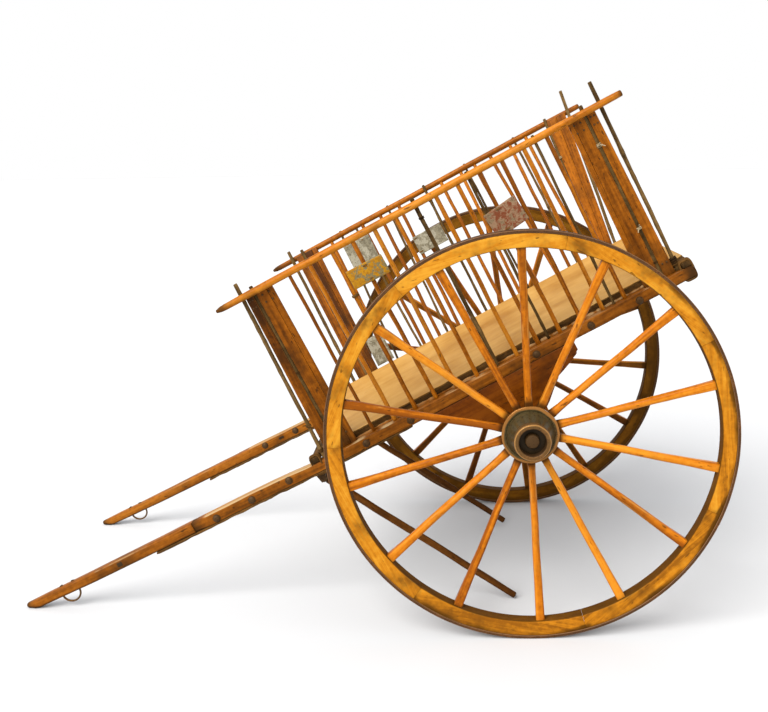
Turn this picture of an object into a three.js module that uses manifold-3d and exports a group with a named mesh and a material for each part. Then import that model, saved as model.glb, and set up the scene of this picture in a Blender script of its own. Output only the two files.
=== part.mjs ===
// Weathered two-wheeled wooden cart, parked nose-down on its wheels and shaft tips.
// Millimetres. +X towards the tail, +Y towards the right-hand wheel, +Z up, floor at z = 0.
import * as THREE from "three";
import { mergeVertices } from "three/addons/utils/BufferGeometryUtils.js";
import Module from "manifold-3d";

const wasm = await Module();
wasm.setup();

// Colour, roughness and metalness of each kind of piece
const finishes = {
  tyre: { color: 0x6f5338, roughness: 0.75, metalness: 0.6 },
  felloe: { color: 0xd9943a, roughness: 0.5, metalness: 0 },
  spoke: { color: 0xcf7d28, roughness: 0.45, metalness: 0 },
  iron: { color: 0x5a4a34, roughness: 0.7, metalness: 0.7 },
  beam: { color: 0x8d4f16, roughness: 0.5, metalness: 0 },
  rail: { color: 0xda8529, roughness: 0.35, metalness: 0 },
  board: { color: 0x9c5a14, roughness: 0.5, metalness: 0 },
  stake: { color: 0x6e5030, roughness: 0.8, metalness: 0 },
  floor: { color: 0x5c4426, roughness: 0.8, metalness: 0 },
  plywood: { color: 0xecb469, roughness: 0.75, metalness: 0 },
  yellow: { color: 0xb9893a, roughness: 0.6, metalness: 0.3 },
  red: { color: 0x946639, roughness: 0.6, metalness: 0.3 },
  grey: { color: 0xa3926c, roughness: 0.55, metalness: 0.5 },
};

// Gap between pieces that touch
const fit = 0.3;

// Wheels: iron tyre, wooden felloes, dished spokes and a turned nave
const wheelRadius = 775;
const tyre = { thickness: 12, width: 58, edge: 2 };
const felloe = { depth: 54, width: 55, edge: 4, bevel: 5 };
const rimSegments = 84;
const spokeCount = 14;
const spokeRoot = 70;
// Spoke sections on the way out: radius, width, depth, corner; the last one ends at the felloes
const spokeSections = [
  [spokeRoot, 31, 36, 5], [128, 27, 34, 8], [430, 28, 31, 10], [620, 31, 32, 7],
];
const spokeEnd = { width: 32, depth: 34, corner: 3 };
const wheelPlane = 736;
const wheelDish = 50;
const wheelPhase = { left: 92.4, right: 97.9 };

// Nave, measured outwards from the rim's middle plane: outwards, radius
const naveSides = 48;
const naveProfile = [
  [-150, 62], [-140, 68], [-104, 74], [-88, 92], [-6, 92], [-4, 88], [25, 76], [60, 66],
];
const naveBore = 22.5;
const flange = { from: -20, to: -7, outer: 110, inner: 92.3 };
const noseRing = { from: 60.3, to: 97, outer: 70, inner: 50 };

// Axle: square bar with round arms, a nut on each end
const axleSquare = 44;
const axleArm = { radius: 22, sides: 24 };
const axleShoulder = 584;
const axleEnd = 801;
const axleNut = { from: 801.3, to: 817, radius: 27, sides: 8 };

// Side beams, which run forwards as the shafts.  Chassis stations: a along the cart, v up from the axle.
const beamMiddle = 460;
const beamTop = 234;
const shaftCorner = 6;
const shaftStations = [
  { a: -2130, low: 238, top: 273, half: 20 },
  { a: -1867, low: 224, top: 266, half: 23 },
  { a: -1497, low: 213, top: 257, half: 26 },
  { a: -1026, low: 201, top: 245, half: 28 },
  { a: -858, low: 195, top: beamTop, half: 28 },
  { a: -480, low: 188, top: beamTop, half: 28 },
  { a: 65, low: 187, top: beamTop, half: 28 },
  { a: 862, low: 187, top: beamTop, half: 28 },
];
const nose = { length: 36, half: 11, drop: 1, thick: 14 };
const shaftPlate = { from: -1580, to: -414, thickness: 11, ends: 7, half: 25 };
const shaftRing = { a: -1982, radius: 37, wire: 4, steps: 10, sides: 8 };

// Sides: uprights and rails lean outwards from the beam to the rail
const railHeight = 963;
const railOut = 635;
const railRadius = 14.5;
const railSides = 12;
const railStations = [
  { a: -836, r: 7 }, { a: -806, r: 12.5 }, { a: -638, r: railRadius }, { a: 584, r: railRadius },
  { a: 875, r: 13 }, { a: 902, r: 12 },
];
// Thin uprights: a at the rail, a at the beam, radius, height above the rail
const uprightSides = 8;
const uprights = {
  left: [
    [-521, -563, 7, 0], [-434, -467, 9, 0], [-335, -371, 9, 0], [-248, -278, 9, 0], [-153, -184, 9, 0],
    [-61, -91, 9, 0], [111, 88, 9, 0], [203, 184, 9, 0], [251, 231, 6, 18], [299, 282, 9, 0],
    [391, 378, 9, 0], [485, 473, 9, 0], [534, 522, 6, 19], [581, 571, 9, 0],
  ],
  right: [
    [-505, -510, 9, 0], [-443, -477, 6, 18], [-363, -342, 6, 12], [-327, -322, 9, 0], [-225, -239, 9, 0],
    [-174, -196, 6, 18], [-120, -130, 9, 0], [122, 110, 9, 0], [233, 205, 9, 0], [265, 255, 6, 18],
    [310, 305, 9, 0], [399, 412, 9, 0], [511, 478, 9, 0], [540, 522, 6, 18], [598, 585, 9, 0],
  ],
};
// Corner boards: name, edges at the rail, edges at the beam
const boardThickness = 14;
const boardOver = 4;
const boards = {
  left: [
    ["front_outer", [-716, -690], [-772, -732]], ["front_inner", [-668, -603], [-709, -641]],
    ["rear_inner", [672, 734], [657, 728]], ["rear_outer", [755, 786], [750, 793]],
  ],
  right: [
    ["front_outer", [-697, -668], [-690, -655]], ["front_inner", [-645, -581], [-633, -585]],
    ["rear_inner", [727, 774.5], [646, 674.5]], ["rear_outer", [775.5, 822], [675.5, 704]],
  ],
};
// Stakes: name, a at the rail, a at the beam, radius, height above the rail
const stakeSides = 10;
const stakes = {
  left: [
    ["front_tall_stake", -728, -791, 8, 60], ["front_dark_stake", -679, -720, 8, 24],
    ["middle_stake", 24, -1, 8.5, 27],
    ["rear_dark_stake", 745, 740, 8, 30], ["rear_tall_stake", 814, 806, 8, 92],
  ],
  right: [
    ["front_tall_stake", -719, -717, 8, 50], ["front_dark_stake", -656, -644, 8, 28],
    ["middle_stake", 35, 22, 7, 22],
    ["rear_dark_stake", 717, 636, 7, 24], ["rear_tall_stake", 838, 718, 8, 108],
  ],
};

// Floor: cross bars by name, along, reach to each side, underside and top; planks; a loose curled sheet
const floorBottom = beamTop + fit;
const floorTop = 259;
const crossBars = [
  { name: "front", a: [-840, -808], reach: 492, low: floorBottom, top: floorTop },
  { name: "second", a: [-432, -382], reach: 431.5, low: 189, top: beamTop },
  { name: "third", a: [133, 184], reach: 431.5, low: 189, top: beamTop },
  { name: "fourth", a: [590, 642], reach: 431.5, low: 189, top: beamTop },
  { name: "rear", a: [821, 860], reach: 492, low: floorBottom, top: floorTop },
];
const plank = { count: 4, from: -807.5, to: 820.5, half: 431, gap: 4 };
const sheet = { from: -836, to: 859, near: -430, far: 452, thickness: 6, bend: 250, rise: 40, steps: 6 };

// Axle boards stand between axle and beam: outline in chassis a, v
const axleBoard = {
  inner: 442, outer: 486,
  outline: [
    [-325, 186.7], [-102, -16], [-46, -59], [15, -68], [95, -5], [190, 85], [279, 122], [302, 136],
    [313, 155], [309, 186.7],
  ],
};

// Prop legs hang from a pin under each shaft and rest their free ends on the floor
const prop = { a: -843, v: 155, middle: 420, length: 925, tail: 14, sides: 10 };
const propEye = { radius: 19, neck: 15, half: 14, sides: 16 };
const propPin = { radius: 6, clear: 0.4, inside: 20, sides: 12 };
const hanger = { inner: 440.5, outer: 448.5, half: 20, foot: 12 };

// Worn plates wired to the uprights: name, side, along, up, out from the uprights, turn in degrees
const plateThickness = 2;
const plates = [
  { name: "plate_yellow", side: -1, a: [-332, -179], v: [781, 860], out: 9.6, turn: -1, finish: "yellow" },
  { name: "plate_red", side: -1, a: [237, 377], v: [699, 808], out: 9.6, turn: 7, finish: "red" },
  { name: "plate_grey", side: 1, a: [-134, 21], v: [688, 781], out: -9.6, turn: 0, finish: "grey" },
  { name: "plate_tall", side: 1, a: [-463, -322], v: [776, 901], out: -9.6, turn: 0, finish: "grey" },
  { name: "plate_low", side: 1, a: [-576, -486], v: [310, 450], out: -9.6, turn: 0, finish: "grey" },
];

// Pitch that sets both shaft tips on the floor
const tip = shaftStations[0];
const pitch = Math.asin(wheelRadius / Math.hypot(tip.a, tip.low)) + Math.atan2(tip.low, -tip.a);
const chassis = new THREE.Matrix4().makeTranslation(0, 0, wheelRadius)
  .multiply(new THREE.Matrix4().makeRotationY(-pitch));

function fromTriangles(points, faces) {
  const geometry = new THREE.BufferGeometry();
  geometry.setAttribute("position", new THREE.Float32BufferAttribute(points.flat(), 3));
  geometry.setIndex(faces.flat());
  return geometry;
}

// Closed skin over matching rings of points, with flat ends
function loft(rings) {
  const n = rings[0].length;
  const faces = [];
  for (let k = 0; k + 1 < rings.length; k++) {
    for (let i = 0; i < n; i++) {
      const j = (i + 1) % n;
      const p = k * n;
      faces.push([p + i, p + j, p + n + j], [p + i, p + n + j, p + n + i]);
    }
  }
  const last = (rings.length - 1) * n;
  for (let i = 1; i + 1 < n; i++) {
    faces.push([0, i + 1, i], [last, last + i, last + i + 1]);
  }
  return outward(fromTriangles(rings.flat(), faces));
}

// Turn a skin right side out when its volume comes out negative
function outward(geometry) {
  const p = geometry.getAttribute("position");
  const index = geometry.getIndex().array;
  const a = new THREE.Vector3();
  const b = new THREE.Vector3();
  const c = new THREE.Vector3();
  let volume = 0;
  for (let i = 0; i < index.length; i += 3) {
    a.fromBufferAttribute(p, index[i]);
    b.fromBufferAttribute(p, index[i + 1]);
    c.fromBufferAttribute(p, index[i + 2]);
    volume += a.dot(b.cross(c));
  }
  if (volume < 0) {
    for (let i = 0; i < index.length; i += 3) {
      [index[i + 1], index[i + 2]] = [index[i + 2], index[i + 1]];
    }
  }
  return geometry;
}

// Ring of revolution about the Y axis from a closed outline of [y, radius]
function ringAbout(outline, segments, phase = 0) {
  const n = outline.length;
  const points = [];
  const faces = [];
  for (let k = 0; k < segments; k++) {
    const angle = phase + (2 * Math.PI * k) / segments;
    for (const [y, r] of outline) points.push([r * Math.cos(angle), y, r * Math.sin(angle)]);
    const m = (k + 1) % segments;
    for (let i = 0; i < n; i++) {
      const j = (i + 1) % n;
      faces.push([k * n + i, k * n + j, m * n + j], [k * n + i, m * n + j, m * n + i]);
    }
  }
  return outward(fromTriangles(points, faces));
}

// Straight bar of many-sided section between two points, its section given in the two cross directions
function bar(from, to, section, sectionEnd = section, side = [0, 1, 0]) {
  const start = new THREE.Vector3(...from);
  const end = new THREE.Vector3(...to);
  const along = end.clone().sub(start).normalize();
  const cross = new THREE.Vector3(...side);
  cross.addScaledVector(along, -along.dot(cross)).normalize();
  const third = along.clone().cross(cross);
  const place = (origin, points) =>
    points.map(([u, w]) => origin.clone().addScaledVector(cross, u).addScaledVector(third, w).toArray());
  return loft([place(start, section), place(end, sectionEnd)]);
}

function circle(radius, count) {
  return Array.from({ length: count }, (_, i) => {
    const angle = (2 * Math.PI * (i + 0.5)) / count;
    return [radius * Math.cos(angle), radius * Math.sin(angle)];
  });
}

function rounded(width, depth, corner) {
  const x = width / 2;
  const y = depth / 2;
  return [
    [x, -y + corner], [x, y - corner], [x - corner, y], [-x + corner, y],
    [-x, y - corner], [-x, -y + corner], [-x + corner, -y], [x - corner, -y],
  ];
}

// Flat outline in chassis a, v carried from one side distance to another
function slab(given, inner, outer) {
  const turned = THREE.ShapeUtils.area(given.map(([a, v]) => new THREE.Vector2(a, v))) < 0;
  const outline = turned ? [...given].reverse() : given;
  const n = outline.length;
  const points = [];
  for (const s of [inner, outer]) for (const [a, v] of outline) points.push([a, s, v]);
  const faces = [];
  const flat = outline.map(([a, v]) => new THREE.Vector2(a, v));
  for (const [i, j, k] of THREE.ShapeUtils.triangulateShape(flat, [])) {
    faces.push([i, j, k], [n + i, n + k, n + j]);
  }
  for (let i = 0; i < n; i++) {
    const j = (i + 1) % n;
    faces.push([i, n + i, n + j], [i, n + j, j]);
  }
  return outward(fromTriangles(points, faces));
}

function box(x0, x1, y0, y1, z0, z1) {
  return new THREE.BoxGeometry(x1 - x0, y1 - y0, z1 - z0)
    .translate((x0 + x1) / 2, (y0 + y1) / 2, (z0 + z1) / 2);
}

function solid(geometry) {
  const bare = geometry.clone();
  for (const name of Object.keys(bare.attributes)) if (name !== "position") bare.deleteAttribute(name);
  const welded = mergeVertices(bare, 1e-4);
  return new wasm.Manifold(new wasm.Mesh({
    numProp: 3,
    vertProperties: new Float32Array(welded.getAttribute("position").array),
    triVerts: new Uint32Array(welded.getIndex().array),
  }));
}

function fromSolid(body) {
  const mesh = body.getMesh();
  const geometry = new THREE.BufferGeometry();
  geometry.setAttribute("position", new THREE.BufferAttribute(new Float32Array(mesh.vertProperties), 3));
  geometry.setIndex(new THREE.BufferAttribute(new Uint32Array(mesh.triVerts), 1));
  return geometry;
}

function join(list) {
  return fromSolid(list.map(solid).reduce((whole, next) => whole.add(next)));
}

function cut(base, list) {
  return fromSolid(list.map(solid).reduce((whole, next) => whole.subtract(next), solid(base)));
}

const root = new THREE.Group();
root.name = "weathered_cart";

function add(name, finish, geometry) {
  const mesh = new THREE.Mesh(geometry, new THREE.MeshStandardMaterial(finishes[finish]));
  mesh.name = name;
  root.add(mesh);
}

// Same, for a shape given in chassis a, side and v
function addOnChassis(name, finish, geometry) {
  add(name, finish, geometry.applyMatrix4(chassis));
}

// How far up the side a height lies: 0 at the beam, 1 at the rail
const sideShare = (v) => (v - beamTop) / (railHeight - beamTop);

// Distance from the middle of a line that leans from the beam to the rail, or to a line inside the rail
const leanAt = (v, inset = 0) => beamMiddle + (railOut - inset - beamMiddle) * sideShare(v);

// How far inside the rail's line a piece of this half thickness leans against the rail
const leanCos = Math.cos(Math.atan2(railOut - beamMiddle, railHeight - beamTop));
const insideRail = (half) => (railRadius + half + fit) / leanCos;

function upright(sign, [top, foot, radius, over], inset, count) {
  return loft([beamTop + fit, railHeight + over].map((v) => circle(radius, count).map(([u, w]) =>
    [foot + (top - foot) * sideShare(v) + u, sign * leanAt(v, inset) + w, v])));
}

function wheel(side, sign) {
  const phase = THREE.MathUtils.degToRad(wheelPhase[side]);
  const facet = Math.PI / rimSegments;
  const start = phase + facet;
  const place = (geometry) => geometry.translate(0, sign * wheelPlane, wheelRadius);
  const half = tyre.width / 2;
  const inner = wheelRadius - tyre.thickness;
  const shoulder = wheelRadius - tyre.edge;
  add(`tyre_${side}`, "tyre", place(ringAbout([
    [-half, inner], [half, inner], [half, shoulder], [half - tyre.edge, wheelRadius],
    [tyre.edge - half, wheelRadius], [-half, shoulder],
  ], rimSegments, start)));

  const out = inner - fit;
  const inside = out - felloe.depth;
  const wide = felloe.width / 2;
  add(`felloes_${side}`, "felloe", place(ringAbout([
    [-wide, inside + felloe.bevel], [felloe.edge - wide, inside], [wide - felloe.edge, inside],
    [wide, inside + felloe.bevel], [wide, out], [-wide, out],
  ], rimSegments, start)));

  const nave = naveProfile.map(([y, r]) => [sign * y, r]);
  const naveEnds = [naveProfile.at(-1)[0], naveProfile[0][0]];
  nave.push(...naveEnds.map((y) => [sign * y, naveBore]));
  const parts = [ringAbout(nave, naveSides, start)];
  const reach = inside * Math.cos(facet) - fit;
  const sections = [...spokeSections, [reach, spokeEnd.width, spokeEnd.depth, spokeEnd.corner]];
  for (let k = 0; k < spokeCount; k++) {
    const angle = phase + (2 * Math.PI * k) / spokeCount;
    const [c, s] = [Math.cos(angle), Math.sin(angle)];
    parts.push(loft(sections.map(([r, width, depth, corner]) => {
      const y = -sign * wheelDish * (1 - (r - spokeRoot) / (reach - spokeRoot));
      return rounded(width, depth, corner).map(([u, w]) => [r * c - s * u, y + w, r * s + c * u]);
    })));
  }
  add(`wheel_${side}`, "spoke", place(join(parts)));
  for (const [name, { from, to, outer, inner: hole }] of [["nave_flange", flange], ["nose_ring", noseRing]]) {
    add(`${name}_${side}`, "iron", place(ringAbout([
      [sign * from, hole], [sign * to, hole], [sign * to, outer], [sign * from, outer],
    ], naveSides, start)));
  }
}

function axle() {
  const half = axleSquare / 2;
  const square = box(-half, half, -axleShoulder, axleShoulder, -half, half);
  const arms = bar([0, -axleEnd, 0], [0, axleEnd, 0],
    circle(axleArm.radius, axleArm.sides), undefined, [1, 0, 0]);
  addOnChassis("axle", "iron", join([square, arms]));
  for (const [side, sign] of sides) {
    addOnChassis(`axle_nut_${side}`, "iron", bar([0, sign * axleNut.from, 0], [0, sign * axleNut.to, 0],
      circle(axleNut.radius, axleNut.sides), undefined, [1, 0, 0]));
  }
}

// Underside of the shaft at a place along the cart
function shaftLow(a) {
  const k = shaftStations.findIndex((station) => station.a >= a);
  const [p, q] = [shaftStations[k - 1], shaftStations[k]];
  return p.low + ((q.low - p.low) * (a - p.a)) / (q.a - p.a);
}

function shaft(side, sign) {
  const c = shaftCorner;
  const section = ({ a, low, top, half }) => [
    [-half + c, low], [half - c, low], [half, low + c], [half, top - c],
    [half - c, top], [-half + c, top], [-half, top - c], [-half, low + c],
  ].map(([y, v]) => [a, sign * beamMiddle + y, v]);
  const low = tip.low + nose.length * Math.tan(pitch);
  const top = Math.max(tip.top - nose.drop, low + nose.thick);
  const front = { a: tip.a - nose.length, low, top, half: nose.half };
  addOnChassis(`shaft_${side}`, "beam", loft([front, ...shaftStations].map(section)));

  const { from, to, thickness, ends, half } = shaftPlate;
  const between = shaftStations.map(({ a }) => a).filter((a) => a > from && a < to);
  addOnChassis(`shaft_plate_${side}`, "iron", loft([from, ...between, to].map((a) => {
    const high = shaftLow(a) - fit;
    const deep = high - (a === from || a === to ? ends : thickness);
    return [[-half, high], [half, high], [half, deep], [-half, deep]]
      .map(([y, v]) => [a, sign * beamMiddle + y, v]);
  })));

  const arc = [];
  for (let k = 0; k <= shaftRing.steps; k++) {
    const angle = (Math.PI * k) / shaftRing.steps;
    const [cos, sin] = [Math.cos(angle), Math.sin(angle)];
    const a = shaftRing.a - shaftRing.radius * cos;
    const v = shaftLow(a) - fit - shaftRing.radius * sin;
    arc.push(circle(shaftRing.wire, shaftRing.sides).map(([u, w]) =>
      [a - cos * u, sign * beamMiddle + w, v - sin * u]));
  }
  addOnChassis(`shaft_ring_${side}`, "iron", loft(arc));
}

function axleBoards(side, sign) {
  const board = slab(axleBoard.outline, sign * axleBoard.inner, sign * axleBoard.outer);
  const hole = axleSquare / 2 + fit;
  const through = box(-hole, hole, -axleShoulder, axleShoulder, -hole, hole);
  addOnChassis(`axle_board_${side}`, "beam", cut(board, [through]));
}

function sidePanel(side, sign) {
  const rail = loft(railStations.map(({ a, r }) => circle(r, railSides).map(([u, w]) =>
    [a, sign * railOut + u, railHeight + w])));
  const thin = uprights[side].map((row) => upright(sign, row, 0, uprightSides));
  addOnChassis(`rail_${side}`, "rail", join([rail, ...thin]));

  const half = boardThickness / 2;
  for (const [name, top, foot] of boards[side]) {
    const face = (v, [first, last]) => {
      const s = leanAt(v, insideRail(half * leanCos));
      return [[first, s - half], [last, s - half], [last, s + half], [first, s + half]]
        .map(([a, y]) => [a, sign * y, v]);
    };
    addOnChassis(`board_${name}_${side}`, "board",
      loft([face(beamTop + fit, foot), face(railHeight + boardOver, top)]));
  }
  for (const [name, ...row] of stakes[side]) {
    const inset = insideRail(row[2]);
    addOnChassis(`${name}_${side}`, "stake", upright(sign, row, inset, stakeSides));
  }
}

function floor() {
  for (const { name, a, reach, low, top } of crossBars) {
    addOnChassis(`cross_bar_${name}`, "floor", box(a[0], a[1], -reach, reach, low, top));
  }
  const width = (2 * plank.half - (plank.count - 1) * plank.gap) / plank.count;
  for (let k = 0; k < plank.count; k++) {
    const y = -plank.half + k * (width + plank.gap);
    addOnChassis(`plank_${k + 1}`, "floor", box(plank.from, plank.to, y, y + width, floorBottom, floorTop));
  }
  const across = [sheet.near];
  for (let k = 0; k <= sheet.steps; k++) {
    across.push(sheet.bend + ((sheet.far - sheet.bend) * k) / sheet.steps);
  }
  addOnChassis("plywood_sheet", "plywood", loft(across.map((y) => {
    const curl = Math.max(0, (y - sheet.bend) / (sheet.far - sheet.bend));
    const low = floorTop + fit + sheet.rise * curl ** 2;
    const top = low + sheet.thickness;
    return [[sheet.from, y, low], [sheet.to, y, low], [sheet.to, y, top], [sheet.from, y, top]];
  })));
}

// Prop legs stand at their own slope to the floor; the pin stays with the shaft
function propLeg(side, sign) {
  const pin = new THREE.Vector3(prop.a, sign * prop.middle, prop.v).applyMatrix4(chassis);
  const drop = pin.z - prop.tail;
  const end = [pin.x + Math.sqrt(prop.length ** 2 - drop ** 2), pin.y, prop.tail];
  const tailRadius = prop.tail / Math.cos(Math.PI / prop.sides);
  const leg = bar(pin.toArray(), end, circle(propEye.neck, prop.sides), circle(tailRadius, prop.sides));
  const acrossPin = (half, radius) => bar([pin.x, pin.y - half, pin.z], [pin.x, pin.y + half, pin.z],
    circle(radius, propEye.sides), undefined, [1, 0, 0]);
  const eye = acrossPin(propEye.half, propEye.radius);
  const hole = acrossPin(2 * propEye.half, propPin.radius + propPin.clear);
  add(`prop_${side}`, "stake", cut(join([leg, eye]), [hole]));

  const { inner, outer, half, foot } = hanger;
  const lugTop = [prop.a - half, prop.a + half]
    .map((a) => [a, shaftLow(a) - fit - shaftPlate.thickness - fit]);
  const lugFoot = [prop.a + foot, prop.a - foot].map((a) => [a, prop.v - foot]);
  const lug = slab([...lugTop, ...lugFoot], sign * inner, sign * outer);
  const pinBar = bar([prop.a, sign * (prop.middle - propPin.inside), prop.v], [prop.a, sign * outer, prop.v],
    circle(propPin.radius, propPin.sides), undefined, [1, 0, 0]);
  addOnChassis(`prop_hanger_${side}`, "iron", join([lug, pinBar]));
}

function wiredPlates() {
  for (const { name, side, a, v, out, turn, finish } of plates) {
    const middle = [(a[0] + a[1]) / 2, (v[0] + v[1]) / 2];
    const c = Math.cos(THREE.MathUtils.degToRad(turn));
    const s = Math.sin(THREE.MathUtils.degToRad(turn));
    const ring = (offset) => [[a[0], v[0]], [a[1], v[0]], [a[1], v[1]], [a[0], v[1]]].map(([x, z]) => {
      const [dx, dz] = [x - middle[0], z - middle[1]];
      const up = middle[1] + s * dx + c * dz;
      return [middle[0] + c * dx - s * dz, side * (leanAt(up) + offset), up];
    });
    addOnChassis(name, finish, loft([ring(out - plateThickness / 2), ring(out + plateThickness / 2)]));
  }
}

const sides = [["left", -1], ["right", 1]];
for (const [side, sign] of sides) {
  wheel(side, sign);
  shaft(side, sign);
  axleBoards(side, sign);
  sidePanel(side, sign);
  propLeg(side, sign);
}
axle();
floor();
wiredPlates();

// Origin under the middle of the whole cart
const bounds = new THREE.Box3().setFromObject(root);
root.position.x = -(bounds.min.x + bounds.max.x) / 2;
root.updateMatrixWorld(true);

export default root;
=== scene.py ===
import math

import bpy
import numpy as np
from mathutils import Matrix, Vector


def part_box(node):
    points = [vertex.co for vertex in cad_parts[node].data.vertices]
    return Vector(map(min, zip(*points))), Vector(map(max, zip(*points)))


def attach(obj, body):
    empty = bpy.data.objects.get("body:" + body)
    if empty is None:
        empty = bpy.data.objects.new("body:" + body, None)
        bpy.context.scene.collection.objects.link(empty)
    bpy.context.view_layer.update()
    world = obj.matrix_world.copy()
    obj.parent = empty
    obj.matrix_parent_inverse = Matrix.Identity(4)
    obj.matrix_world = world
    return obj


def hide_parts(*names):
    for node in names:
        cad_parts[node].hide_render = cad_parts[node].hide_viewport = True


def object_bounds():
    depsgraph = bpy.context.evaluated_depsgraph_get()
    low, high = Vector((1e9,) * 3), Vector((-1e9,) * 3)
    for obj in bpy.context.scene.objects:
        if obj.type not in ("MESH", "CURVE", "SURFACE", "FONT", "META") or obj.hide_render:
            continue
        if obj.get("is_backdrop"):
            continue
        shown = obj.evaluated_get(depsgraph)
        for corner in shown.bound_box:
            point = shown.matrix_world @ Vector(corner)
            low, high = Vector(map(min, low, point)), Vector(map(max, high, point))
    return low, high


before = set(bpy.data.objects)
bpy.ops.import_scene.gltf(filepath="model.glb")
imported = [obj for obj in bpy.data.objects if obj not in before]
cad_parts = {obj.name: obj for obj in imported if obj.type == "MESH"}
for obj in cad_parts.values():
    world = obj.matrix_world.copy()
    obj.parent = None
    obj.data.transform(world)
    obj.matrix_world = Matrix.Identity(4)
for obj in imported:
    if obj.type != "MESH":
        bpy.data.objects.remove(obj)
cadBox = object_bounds()
mm = 0.001                                    # pieces are worked out in millimetres, meshes are in metres
seatGap = 0.3                                 # clearance between pieces that sit on each other
sides = {"left": -1.0, "right": 1.0}

# The cart leans forwards until both shaft tips touch the floor
stance = {"tipAlong": 2130.0, "tipLow": 238.0}
tyreLow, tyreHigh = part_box("tyre_left")
axleX = (tyreLow.x + tyreHigh.x) / 2
axleZ = (tyreLow.z + tyreHigh.z) / 2
tipReach = math.hypot(stance["tipAlong"], stance["tipLow"])
pitch = math.asin(axleZ / mm / tipReach) + math.atan2(stance["tipLow"], stance["tipAlong"])


def onChassis(points):
    # (a along the bed, y across, v up from the axle) turned by the pitch about the axle
    a, y, v = np.moveaxis(np.asarray(points, float), -1, 0)
    x = a * math.cos(pitch) - v * math.sin(pitch)
    z = a * math.sin(pitch) + v * math.cos(pitch)
    return np.stack([x * mm + axleX, y * mm, z * mm + axleZ], -1)


def onWheel(sign):
    # (x, t outwards from the rim's middle plane, z) about the wheel's centre
    def place(points):
        x, t, z = np.moveaxis(np.asarray(points, float), -1, 0)
        return np.stack([x * mm + axleX, sign * (wheel["plane"] + t) * mm, z * mm + axleZ], -1)
    return place


def inFrame(points):
    # points already in the shared frame, from millimetres to metres
    return np.asarray(points, float) * mm


# Sections: every point is stand * (half - corner) + push * corner
def roundSection(count):
    # a circle: all points stand on the middle and are pushed out by the radius
    angle = 2 * np.pi * (np.arange(count) + 0.5) / count
    push = np.stack([np.cos(angle), np.sin(angle)], -1)
    return {"stand": np.zeros_like(push), "push": push, "edge": np.zeros(count)}


def squareSection(arc, side):
    # a rectangle: four quarter circles at the corners, with a few points on each flat between them
    turn = np.arange(4)[:, None] * np.pi / 2
    quarter = turn + np.linspace(0, np.pi / 2, arc + 1)[None]
    corner = math.sqrt(2) * np.stack([np.cos(turn + np.pi / 4), np.sin(turn + np.pi / 4)], -1)
    share = (np.arange(side) + 1.0) / (side + 1)
    flat = corner + (np.roll(corner, -1, 0) - corner) * share[None, :, None]
    out = quarter[:, -1:]
    push = np.concatenate([np.stack([np.cos(quarter), np.sin(quarter)], -1),
                           np.repeat(np.stack([np.cos(out), np.sin(out)], -1), side, 1)], 1)
    stand = np.concatenate([np.repeat(corner, arc + 1, 1), flat], 1)
    edge = np.concatenate([np.abs(np.sin(2 * quarter)), np.zeros((4, side))], 1)
    return {"stand": stand.reshape(-1, 2), "push": push.reshape(-1, 2), "edge": edge.ravel()}


rod = roundSection(14)
thinRod = roundSection(8)
fullRod = roundSection(20)
squared = squareSection(3, 1)
flatBoard = squareSection(2, 3)
felloeBar = squareSection(3, 5)
acrossUp = ((0, 1, 0), (0, 0, 1))             # a bar along the cart: its section lies across and up
alongUp = ((1, 0, 0), (0, 0, 1))              # a bar across the cart: its section lies along and up


def unit(vectors):
    # vectors divided by their own length
    return vectors / np.linalg.norm(vectors, axis=-1, keepdims=True)


def blendIn(value, low, high):
    # smooth step from 0 at low to 1 at high
    t = np.clip((np.asarray(value, float) - low) / (high - low), 0, 1)
    return t * t * (3 - 2 * t)


def sway(along, seed, size, wave=420.0):
    # three sine waves of falling length and size with seeded phases, for both cross directions
    phase = np.random.default_rng(seed).uniform(0, 2 * np.pi, (3, 2))
    step = np.array([1.0, 1.9, 3.7])
    fall = np.array([0.6, 0.3, 0.15])
    waves = np.sin(2 * np.pi * np.asarray(along)[:, None, None] * step[None, :, None] / wave + phase[None])
    return size * (waves * fall[None, :, None]).sum(1)


def lumps(rows, columns, seed, passes=3):
    # seeded heights averaged with their neighbours along and around, scaled to about +-1
    field = np.random.default_rng(seed).normal(size=(rows, columns))
    for _ in range(passes):
        field = (2 * field + np.roll(field, 1, 0) + np.roll(field, -1, 0)) / 4
        field = (2 * field + np.roll(field, 1, 1) + np.roll(field, -1, 1)) / 4
    return np.clip(field / (2 * field.std()), -1, 1)


def between(start, end, rows):
    # evenly spaced points on a straight line
    share = np.linspace(0, 1, rows)[:, None]
    return np.asarray(start, float) + (np.asarray(end, float) - np.asarray(start, float)) * share


def withRim(low, high, rim, count):
    # both ends, and even stations from a rim's width inside the one to a rim's width inside the other
    return np.concatenate([[low], np.linspace(low + rim, high - rim, count), [high]])


def crossFrames(path, side):
    # two cross directions square to the path, the first one as close to side as it gets
    tangent = unit(np.gradient(path, axis=0))
    side = np.broadcast_to(np.asarray(side, float), path.shape)
    across = unit(side - tangent * (side * tangent).sum(-1, keepdims=True))
    return across, np.cross(tangent, across)


# Ends of carried bars: rows on a quarter circle in degrees, what a section keeps at least, wear and soil
barEnd = {"rows": (88.0, 60.0, 30.0), "leastShare": 0.1, "leastCorner": 0.1, "cornerLoss": 0.4,
          "worn": 0.7, "soiled": 0.3}
# Turned pieces: seeds of grain and dents, spread of the tone, metres of grain in a radian
turning = {"seed": 1000, "dentSeed": 12, "tone": 0.08, "grainTurn": 0.1}
grainSpread = 40.0                            # each part's grain starts at a seeded place, within metres
rimShare = 0.35                               # a sheet's rim is drawn in to this share of its thickness
sharpAngle = 40.0                             # edges that turn by more degrees than this stay sharp


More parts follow.
